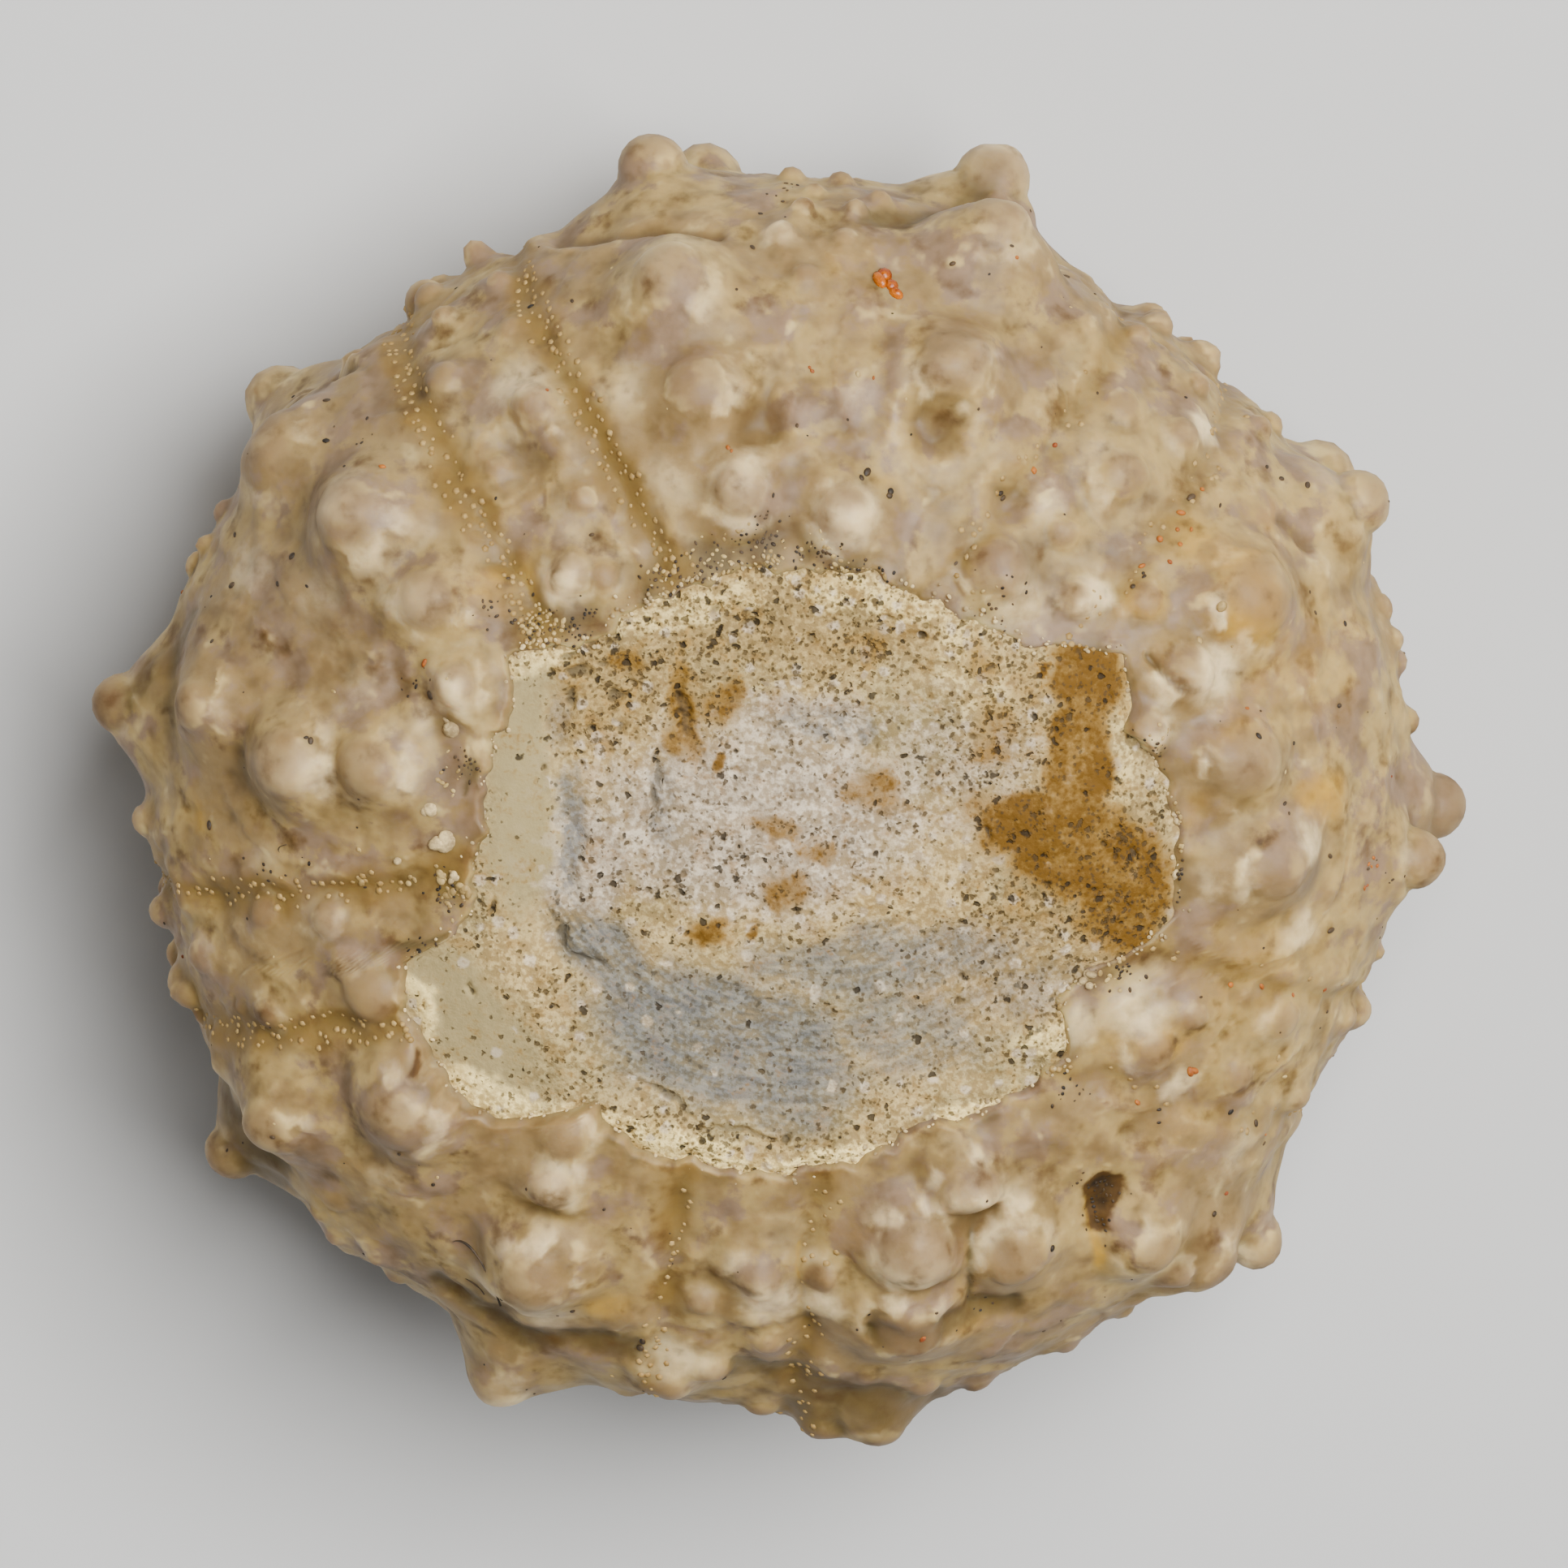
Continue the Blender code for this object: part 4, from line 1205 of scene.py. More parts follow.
@dataclass
class MouthCrumbs:
    """Crumbs of stone and of broken test along the mouth's edge."""

    count: int = 420
    placed: tuple[Spot, ...] = (
        (-4.65, 1.0, 0.16, 3), (-5.1, -0.15, 0.15, 3), (-4.8, -0.7, 0.17, 3), (-5.45, -0.95, 0.09, 1),
        (-4.5, 0.4, 0.10, 2), (-4.35, 1.5, 0.09, 2), (-4.75, -1.25, 0.08, 3), (5.6, -0.4, 0.09, 4),
        (5.35, 0.4, 0.08, 3), (5.5, -1.2, 0.09, 4), (4.4, -2.7, 0.09, 4),
    )  # fmt: skip
    radius: tuple[float, float] = (0.015 * MM, 0.045 * MM)
    spread: float = 0.10  # in millimetres, to both sides of the broken edge
    sunk: float = 0.06 * MM  # of those that lie on the stone
    seed: int = 21

    def build(self, test: FossilTest, finish: bpy.types.Material) -> bpy.types.Object:
        """Makes the crumbs.

        Args:
            test: The test whose mouth they lie along.
            finish: Their material.

        Returns:
            The piece.
        """
        scatter = Scatter("mouth_crumbs", 2, self.seed)
        chance = scatter.chance
        for across, above, radius, count in self.placed:
            for _ in range(int(count)):
                aside = across + chance.uniform(-radius, radius)
                foot = test.foot(aside, above + chance.uniform(-radius, radius))
                size = radius * MM * chance.uniform(0.6, 1.0)
                self.add(scatter, test, math.atan2(foot[1], foot[0]), float(np.hypot(foot[0], foot[1])), size)
        for _ in range(self.count):
            azimuth = chance.uniform(0.0, 2.0 * math.pi)
            edge = float(test.mouth.radius(np.array(azimuth)))
            radius = edge + chance.gauss(0.0, self.spread) * MM
            self.add(scatter, test, azimuth, radius, chance.uniform(*self.radius))
        return scatter.finish(finish, "stone_fill")

    def add(self, scatter: Scatter, test: FossilTest, azimuth: float, radius: float, size: float) -> None:
        """Adds one crumb, sunk in the surface at a distance from the axis."""
        chance = scatter.chance
        level = float(test.body.oral_level(np.array(radius))) + test.body.rest_depth
        if radius < float(test.mouth.radius(np.array(azimuth))):
            level -= self.sunk
        place = Vector((radius * math.cos(azimuth), radius * math.sin(azimuth), level)) + Vector(test.shift)
        shape = Vector((size, size * chance.uniform(0.6, 1.0), size * chance.uniform(0.45, 0.8)))
        outward = Vector((chance.uniform(-0.5, 0.5), chance.uniform(-0.5, 0.5), 1.0))
        scatter.add(place, outward, shape, chance.uniform(0.0, 6.0))


# --------------------------------------------------------------------------------------------------
# Finishes
# --------------------------------------------------------------------------------------------------


class Value:
    """A number that varies over a surface: arithmetic on it adds Math nodes."""

    def __init__(self, graph: "Graph", socket: bpy.types.NodeSocket) -> None:
        """Wraps an output socket of the graph."""
        self.graph, self.socket = graph, socket

    def __add__(self, other: Number) -> "Value":
        """Sum."""
        return self.graph.math("ADD", self, other)

    def __sub__(self, other: Number) -> "Value":
        """Difference."""
        return self.graph.math("SUBTRACT", self, other)

    def __rsub__(self, other: float) -> "Value":
        """Difference from a number."""
        return self.graph.math("SUBTRACT", other, self)

    def __mul__(self, other: Number) -> "Value":
        """Product."""
        return self.graph.math("MULTIPLY", self, other)

    __radd__ = __add__
    __rmul__ = __mul__


class Graph:
    """A material's nodes, made from expressions."""

    def __init__(self, name: str, **shader: float | Colour) -> None:
        """Starts a material.

        Args:
            name: Its name.
            shader: Constant values of the shader's own sockets, with spaces written as underscores.
        """
        self.material = bpy.data.materials.new(name)
        self.material.use_nodes = True
        self.tree = self.material.node_tree
        self.shader = self.tree.nodes["Principled BSDF"]
        for socket, value in shader.items():
            self.shader.inputs[socket.replace("_", " ")].default_value = value
        self.place = self.node("ShaderNodeTexCoord").outputs["Object"]

    def node(self, kind: str, settings: dict | None = None, values: dict | None = None) -> bpy.types.Node:
        """Adds a node.

        Args:
            kind: Its type.
            settings: Its own settings, which are made first.
            values: A number, a colour, a Value or a socket for each input, by name or index.

        Returns:
            The node.
        """
        made = self.tree.nodes.new(kind)
        for name, setting in (settings or {}).items():
            setattr(made, name, setting)
        for name, value in (values or {}).items():
            self.feed(made.inputs[name], value)
        return made

    def feed(self, socket: bpy.types.NodeSocket, value: object) -> None:
        """Links a socket, or sets it where the value is constant."""
        if isinstance(value, Value):
            self.tree.links.new(value.socket, socket)
        elif isinstance(value, bpy.types.NodeSocket):
            self.tree.links.new(value, socket)
        else:
            socket.default_value = value

    def math(self, operation: str, first: Number, second: Number) -> Value:
        """Adds a Math node."""
        made = self.node("ShaderNodeMath", {"operation": operation}, {0: first, 1: second})
        return Value(self, made.outputs[0])

    def attribute(self, name: str) -> Value:
        """Reads a painted value."""
        return Value(self, self.node("ShaderNodeAttribute", {"attribute_name": name}).outputs["Fac"])

    def arcs(self, centre: tuple[float, float], slack: float) -> bpy.types.NodeSocket:
        """Coordinates whose first part is the distance from a point, so that a pattern runs in arcs round it.

        Args:
            centre: The point, across and along.
            slack: How far the pattern is squeezed along the arcs.

        Returns:
            The coordinates.
        """
        apart = self.node("ShaderNodeVectorMath", {"operation": "DISTANCE"}, {0: self.place})
        apart.inputs[1].default_value = (*centre, 10.0 * MM)
        parts = self.node("ShaderNodeSeparateXYZ", {}, {"Vector": self.place})
        across = self.math("MULTIPLY", Value(self, parts.outputs["X"]), slack)
        made = self.node("ShaderNodeCombineXYZ", {}, {"X": apart.outputs["Value"], "Y": across})
        return made.outputs["Vector"]

    def noise(self, size: float, detail: float = 3.0, place: bpy.types.NodeSocket | None = None) -> Value:
        """Fractal noise, about 0.5, whose lumps are this size."""
        values = {"Vector": place or self.place, "Scale": 1.0 / size, "Detail": detail, "Roughness": 0.55}
        return Value(self, self.node("ShaderNodeTexNoise", {}, values).outputs[0])

    def shifted(self, step: float) -> bpy.types.NodeSocket:
        """Object coordinates moved aside, so that a second pattern differs from the first."""
        mapping = self.node("ShaderNodeMapping", {"vector_type": "POINT"}, {"Location": (step, step, step)})
        self.tree.links.new(self.place, mapping.inputs["Vector"])
        return mapping.outputs["Vector"]

    def dots(self, size: float, radius: float, waver: float) -> tuple[Value, Value]:
        """Ragged dots, one in each irregular cell.

        Args:
            size: Of a cell.
            radius: Of a dot, as a share of the size.
            waver: How far the dots' outlines wander.

        Returns:
            How much of a dot each place is, and a number from 0 to 1 that each cell keeps to itself.
        """
        values = {"Vector": self.place, "Scale": 1.6 / size, "Detail": 2.0}
        waves = self.node("ShaderNodeTexNoise", {}, values).outputs["Color"]
        centred = self.node("ShaderNodeVectorMath", {"operation": "SUBTRACT"}, {0: waves})
        centred.inputs[1].default_value = (0.5, 0.5, 0.5)
        pushed = self.node("ShaderNodeVectorMath", {"operation": "MULTIPLY_ADD"}, {0: centred.outputs[0]})
        pushed.inputs[1].default_value = (waver, waver, waver)
        self.tree.links.new(self.place, pushed.inputs[2])
        values = {"Vector": pushed.outputs[0], "Scale": 1.0 / size}
        cells = self.node("ShaderNodeTexVoronoi", {"feature": "F1"}, values)
        apart = Value(self, cells.outputs["Distance"])
        own = self.node("ShaderNodeSeparateColor", {}, {"Color": cells.outputs["Color"]})
        return 1.0 - self.step(apart, radius * 0.6, radius * 1.1), Value(self, own.outputs[0])

    def chosen(self, dots: tuple[Value, Value], share: Value) -> Value:
        """Keeps this share of the dots."""
        shape, own = dots
        return shape * self.math("LESS_THAN", own, share)

    def step(self, value: Value, low: float, high: float) -> Value:
        """Eases from 0 at low to 1 at high."""
        values = {"Value": value, "From Min": low, "From Max": high}
        made = self.node("ShaderNodeMapRange", {"interpolation_type": "SMOOTHSTEP"}, values)
        return Value(self, made.outputs[0])

    def mix(self, factor: Number, first: object, second: object, blend: str = "MIX") -> bpy.types.NodeSocket:
        """Blends two colours."""
        settings = {"data_type": "RGBA", "blend_type": blend, "clamp_factor": True}
        made = self.node("ShaderNodeMix", settings)
        self.feed(made.inputs[0], factor)
        for socket, colour in ((made.inputs[6], first), (made.inputs[7], second)):
            self.feed(socket, (*colour, 1.0) if isinstance(colour, tuple) else colour)
        return made.outputs[2]

    def stain(
        self, under: object, value: Value, low: float, high: float, shade: Colour, most: float = 1.0
    ) -> bpy.types.NodeSocket:
        """Lays a shade over a colour where a value is high.

        Args:
            under: The colour under it.
            value: Where it lies.
            low: The value at which it starts.
            high: The value at which it is full.
            shade: Its colour.
            most: How much of it shows where it is full.

        Returns:
            The blended colour.
        """
        share = self.step(value, low, high)
        return self.mix(share if most == 1.0 else share * most, under, shade)

    def toned(self, factor: Number, colour: object, tone: object) -> bpy.types.NodeSocket:
        """Multiplies a colour by a tone, in this share."""
        return self.mix(factor, colour, self.mix(1.0, colour, tone, "MULTIPLY"))

    def bump(self, height: Value, depth: float) -> None:
        """Gives the surface a fine relief of this depth."""
        values = {"Strength": 1.0, "Distance": depth, "Height": height}
        made = self.node("ShaderNodeBump", {}, values)
        self.tree.links.new(made.outputs["Normal"], self.shader.inputs["Normal"])

    def dress(self, colour: bpy.types.NodeSocket, roughness: Number) -> bpy.types.Material:
        """Feeds the shader and gives the finished material."""
        self.feed(self.shader.inputs["Base Color"], colour)
        self.feed(self.shader.inputs["Roughness"], roughness)
        return self.material


@dataclass(frozen=True)
class ChalkFinish:
    """Weathered calcite of the test: cloudy and softly pearly, with painted highlights on its crests and
    painted shade in its hollows and towards its outline.
    """

    cream: Colour = (0.42, 0.29, 0.105)
    clay: Colour = (0.29, 0.19, 0.075)
    rosy: Colour = (0.26, 0.17, 0.10)
    white: Colour = (0.80, 0.62, 0.34)
    # painted highlight on the crests
    veil: Colour = (0.54, 0.395, 0.17)
    tan: Colour = (0.22, 0.138, 0.066)
    # dirt, and painted shade in the hollows
    brown: Colour = (0.12, 0.067, 0.018)
    ochre: Colour = (0.50, 0.28, 0.025)
    grey: Colour = (0.17, 0.118, 0.066)
    pore: Colour = (0.21, 0.122, 0.024)
    # dirt, and painted shade towards the outline
    olive: Colour = (0.10, 0.065, 0.017)
    # painted shade in the hole and deep cracks: brown as they start to sink, nearly black deeper in
    deep_shade: Colour = (0.012, 0.006, 0.002)
    rust: Colour = (0.080, 0.036, 0.004)
    mottle: tuple[Colour, Colour] = ((0.94, 0.93, 0.90), (1.04, 1.04, 1.03))  # tones that multiply the rest
    scatter_depth: float = 0.55 * MM
    scatter_radius: Colour = (1.0, 0.65, 0.4)  # of red, green and blue, as shares of that depth
    relief: float = 0.007 * MM

    def material(self) -> bpy.types.Material:
        """Makes the material."""
        pearl = {"Subsurface_Weight": 0.7, "Subsurface_Scale": self.scatter_depth}
        graph = Graph("chalky_test", Specular_IOR_Level=0.3, Subsurface_Radius=self.scatter_radius, **pearl)
        broad, patch = graph.noise(2.2 * MM, 2.0), graph.noise(1.0 * MM, 2.0, graph.shifted(3.0 * MM))
        cloud, veil = graph.noise(0.6 * MM, 2.5), graph.noise(0.5 * MM, 2.5, graph.shifted(7.0 * MM))
        fine, dust = graph.noise(0.16 * MM, 3.0), graph.noise(0.05 * MM, 2.0)
        crest = graph.attribute("crest")
        edge = (cloud - 0.5) * 0.9 + (fine - 0.5) * 0.3
        colour = graph.mix(graph.step(broad + (cloud - 0.5) * 0.9, 0.38, 0.58), self.clay, self.cream)
        colour = graph.stain(colour, patch + (fine - 0.5) * 0.3, 0.50, 0.62, self.rosy)
        # Painted highlight on the crests, and painted shade in the low places between them
        colour = graph.stain(colour, crest + (veil - 0.5) * 3.2, 0.35, 1.0, self.veil)
        colour = graph.stain(colour, 0.5 - crest + (0.5 - veil) * 2.4, 0.25, 1.1, self.brown, 0.6)
        for pigment, shade, low, high, most in (
            (Pigment.GREY, self.grey, 0.15, 1.1, 0.9),
            (Pigment.OCHRE, self.ochre, 0.15, 1.2, 0.9),
            (Pigment.BROWN, self.brown, 0.15, 1.25, 0.85),
            (Pigment.OLIVE, self.olive, 0.15, 1.2, 0.9),
            (Pigment.PORE, self.pore, 0.05, 0.95, 0.9),
            (Pigment.WHITE, self.white, 0.2, 1.15, 0.95),
            (Pigment.TAN, self.tan, 0.2, 1.3, 0.8),
        ):
            colour = graph.stain(colour, graph.attribute(pigment.value) + edge, low, high, shade, most)
        # Painted shade in the hole and the deep cracks, darker with depth
        deep_shade = graph.attribute(Pigment.DEEP_SHADE.value)
        colour = graph.stain(colour, deep_shade + edge * 1.2, 0.0, 0.40, self.rust)
        colour = graph.stain(colour, deep_shade + edge * 2.0, 0.45, 1.1, self.deep_shade)
        mottle = graph.mix(graph.step(fine, 0.3, 0.7), *self.mottle)
        colour = graph.mix(1.0, colour, mottle, "MULTIPLY")
        graph.bump(fine * 0.8 + dust * 0.25, self.relief)
        return graph.dress(colour, graph.step(cloud, 0.2, 0.8) * 0.2 + deep_shade * 0.4 + 0.45)


@dataclass(frozen=True)
class StoneFinish:
    """Speckled, stained limestone in the mouth."""

    base: Colour = (0.50, 0.365, 0.155)
    smooth: Colour = (0.34, 0.265, 0.12)
    white: Colour = (0.40, 0.33, 0.24)
    olive: Colour = (0.33, 0.225, 0.08)
    slate: Colour = (0.135, 0.143, 0.145)
    cream: Colour = (0.95, 0.74, 0.30)
    rust: Colour = (0.115, 0.050, 0.0)
    amber: Colour = (0.22, 0.11, 0.010)
    shade: Colour = (0.050, 0.040, 0.024)
    pit: Colour = (0.022, 0.014, 0.005)
    # dark grit, and painted shade in the pits
    grit: Colour = (0.050, 0.030, 0.009)
    grain: Colour = (0.62, 0.52, 0.38)
    speckle: tuple[Colour, Colour] = ((0.62, 0.56, 0.47), (1.22, 1.22, 1.22))  # tones that multiply the rest
    streak: tuple[Colour, Colour] = ((0.70, 0.72, 0.77), (1.26, 1.22, 1.10))
    relief: float = 0.022 * MM

    def material(self) -> bpy.types.Material:
        """Makes the material."""
        graph = Graph("speckled_stone", Specular_IOR_Level=0.25)
        cloud, patch = graph.noise(0.5 * MM, 3.0), graph.noise(1.4 * MM, 3.0)
        fine, dust = graph.noise(0.09 * MM, 4.0), graph.noise(0.035 * MM, 2.0)
        tint, clump = graph.noise(0.26 * MM, 3.0, graph.shifted(5.0 * MM)), graph.noise(0.7 * MM, 3.0)
        streaks = graph.noise(0.11 * MM, 4.0, graph.arcs((0.4 * MM, 1.6 * MM), 0.22))
        edge = (cloud - 0.5) * 0.9 + (fine - 0.5) * 0.7
        masks = {bed: graph.attribute(bed.value) for bed in Bed}
        colour = graph.mix(graph.step(patch, 0.35, 0.65), self.base, self.smooth)
        for bed, shade, low, high in (
            (Bed.OLIVE, self.olive, 0.2, 1.3),
            (Bed.WHITE, self.white, 0.2, 1.1),
            (Bed.SLATE, self.slate, 0.05, 1.35),
            (Bed.SMOOTH, self.smooth, 0.25, 0.85),
            (Bed.CREAM, self.cream, 0.2, 1.1),
        ):
            colour = graph.stain(colour, masks[bed] + edge, low, high, shade)
        plain = 1.0 - masks[Bed.SMOOTH] * 0.9
        sandy = plain * (1.0 - masks[Bed.SLATE] * 0.8)
        warm = graph.step(tint + (cloud - 0.5) * 0.4, 0.50, 0.68) * sandy * 0.5
        colour = graph.mix(warm, colour, self.amber)
        blotch = graph.step(graph.noise(0.30 * MM, 3.0, graph.shifted(11.0 * MM)), 0.50, 0.60)
        colour = graph.mix(blotch * masks[Bed.WHITE] * 0.5, colour, self.grain)
        grains = graph.chosen(graph.dots(0.24 * MM, 0.42, 0.12 * MM), sandy * 0.30)
        colour = graph.mix(grains * 0.55, colour, self.grain)
        speckle = graph.step(fine + (cloud - 0.5) * 0.4, 0.38, 0.62)
        colour = graph.toned(plain * 0.9, colour, graph.mix(speckle, *self.speckle))
        streak = graph.mix(graph.step(streaks, 0.36, 0.64), *self.streak)
        colour = graph.toned(masks[Bed.SLATE] * 0.9, colour, streak)
        stain = masks[Bed.RUST] + (cloud - 0.5) * 1.5 + (fine - 0.5) * 1.7
        colour = graph.stain(colour, stain, 0.05, 0.75, self.amber, 0.75)
        colour = graph.stain(colour, stain, 0.45, 1.15, self.rust, 0.95)
        colour = graph.stain(colour, masks[Bed.SHADE] + edge * 0.6, 0.4, 1.0, self.shade, 0.75)
        dense = graph.step(clump + (cloud - 0.5) * 0.8, 0.42, 0.60) * 0.8 + 0.2
        many = sandy * (dense * (masks[Bed.OLIVE] * 0.9 + 0.45)) * (1.0 - masks[Bed.WHITE] * 0.3)
        coarse = graph.chosen(graph.dots(0.22 * MM, 0.27, 0.20 * MM), many * 0.95 + 0.02)
        middling = graph.chosen(graph.dots(0.13 * MM, 0.36, 0.12 * MM), many)
        small = graph.chosen(graph.dots(0.08 * MM, 0.38, 0.07 * MM), many * 1.2 + sandy * 0.12)
        flecks = graph.chosen(graph.dots(0.17 * MM, 0.26, 0.16 * MM), masks[Bed.SLATE] * 0.45)
        for share, shade in (
            (flecks * 0.75, self.shade),
            (small * 0.7, self.grit),
            (middling * 0.8, self.grit),
            (coarse * 0.9, self.pit),
        ):
            colour = graph.mix(share, colour, shade)
        # Darker in the pits: painted shade
        colour = graph.stain(colour, graph.attribute("pit"), 0.3, 0.9, self.grit, 0.7)
        height = fine * (plain * 0.8 + 0.2) + dust * 0.3 - coarse * 1.2 - middling * 0.6
        graph.bump(height, self.relief)
        return graph.dress(colour, graph.step(fine, 0.2, 0.8) * 0.15 + 0.7)


@dataclass(frozen=True)
class GrainFinish:
    """Small loose or sunken grains, each a little different in shade."""

    name: str
    dark: Colour
    light: Colour
    roughness: float = 0.6
    relief: float = 0.01 * MM

    def material(self) -> bpy.types.Material:
        """Makes the material."""
        graph = Graph(self.name, Specular_IOR_Level=0.4)
        patch, fine = graph.noise(0.3 * MM, 2.0), graph.noise(0.04 * MM, 3.0)
        shade = graph.step(patch * 0.7 + fine * 0.3, 0.36, 0.64)
        graph.bump(fine, self.relief)
        return graph.dress(graph.mix(shade, self.dark, self.light), fine * 0.2 + (self.roughness - 0.1))


@dataclass(frozen=True)
class TableFinish:
    """Pale matt table top."""

    colour: Colour = (0.58, 0.575, 0.56)
    darker: float = 0.985  # what is left of it in the darker spots

    def material(self) -> bpy.types.Material:
        """Makes the material."""
        graph = Graph("pale_table", Specular_IOR_Level=0.2)
        fine = graph.noise(0.6 * MM, 3.0)
        darker = tuple(self.darker * part for part in self.colour)
        return graph.dress(graph.mix(fine, darker, self.colour), fine * 0.1 + 0.75)


# --------------------------------------------------------------------------------------------------
# The studio
# --------------------------------------------------------------------------------------------------


@dataclass
class Studio:
    """The table, the lights and the camera."""

    sight: Sight = field(default_factory=Sight)
    view_width: float = 22.756 * MM
    aim: tuple[float, float] = (0.035 * MM, 0.118 * MM)  # middle of the view from that of the ambitus
    lens: float = 800.0
    sensor: float = 36.0
    clip: tuple[float, float] = (0.01, 10.0)
    table_size: float = 1.6
    table_gap: float = 0.01 * MM
    # A name, how far the lamp's direction leans towards the eye, upwards and to the right, and its watts
    lamps: tuple[tuple[str, float, float, float, float], ...] = (
        ("key", 1.0, 0.12, 0.32, 1.9), ("side", 0.5, 0.1, -0.9, 0.07), ("other_side", 0.5, 0.2, 0.9, 0.07),
    )  # fmt: skip
    lamp_size: float = 0.16
    lamp_distance: float = 0.28
    sky: Colour = (0.95, 0.97, 1.0)
    sky_strength: float = 0.18

    def build(self, ambitus: Vector) -> None:
        """Sets the table, the lights and the camera round the fossil.

        Args:
            ambitus: The middle of the test's widest level.
        """
        self.table()
        toward, up, right = Vector(self.sight.toward()), Vector(self.sight.up()), Vector(self.sight.right())
        middle = ambitus + right * self.aim[0] + up * self.aim[1]
        self.camera(middle, toward, up, right)
        for name, lean_toward, lean_up, lean_right, power in self.lamps:
            way = toward * lean_toward + up * lean_up + right * lean_right
            self.lamp(name, ambitus, way.normalized(), power)
        world = bpy.data.worlds.new("studio")
        world.use_nodes = True
        background = world.node_tree.nodes["Background"].inputs
        background["Color"].default_value = (*self.sky, 1.0)
        background["Strength"].default_value = self.sky_strength
        bpy.context.scene.world = world

    def table(self) -> None:
        """Makes the table top, a hair under the fossil."""
        top = bmesh.new()
        bmesh.ops.create_grid(top, x_segments=2, y_segments=2, size=self.table_size / 2.0)
        bmesh.ops.translate(top, verts=top.verts, vec=(0.0, 0.0, -self.table_gap))
        mesh = joined("table", top)
        mesh.materials.append(TableFinish().material())
        table = bpy.data.objects.new("table", mesh)
        bpy.context.scene.collection.objects.link(table)

    def camera(self, middle: Vector, toward: Vector, up: Vector, right: Vector) -> None:
        """Makes the camera, far off with a long lens.

        Args:
            middle: What it looks at.
            toward: Direction from there to it.
            up: Upwards in its view.
            right: To the right in its view.
        """
        data = bpy.data.cameras.new("camera")
        data.lens, data.sensor_width = self.lens, self.sensor
        camera = bpy.data.objects.new("camera", data)
        distance = self.view_width * self.lens / self.sensor
        turn = Matrix((right, up, toward)).transposed().to_4x4()
        camera.matrix_world = Matrix.Translation(middle + toward * distance) @ turn
        data.clip_start, data.clip_end = self.clip
        bpy.context.scene.collection.objects.link(camera)
        bpy.context.scene.camera = camera

    def lamp(self, name: str, target: Vector, way: Vector, power: float) -> None:
        """Makes a soft square lamp.

        Args:
            name: Its name.
            target: What it shines on.
            way: Direction from there to it, of length 1.
            power: Its power in watts.
        """
        data = bpy.data.lights.new(name, "AREA")
        data.energy, data.size = power, self.lamp_size
        lamp = bpy.data.objects.new(name, data)
        lamp.location = target + way * self.lamp_distance
        lamp.rotation_mode = "QUATERNION"
        lamp.rotation_quaternion = way.to_track_quat("Z", "Y")
        bpy.context.scene.collection.objects.link(lamp)


# --------------------------------------------------------------------------------------------------
# Where the marks are
# --------------------------------------------------------------------------------------------------

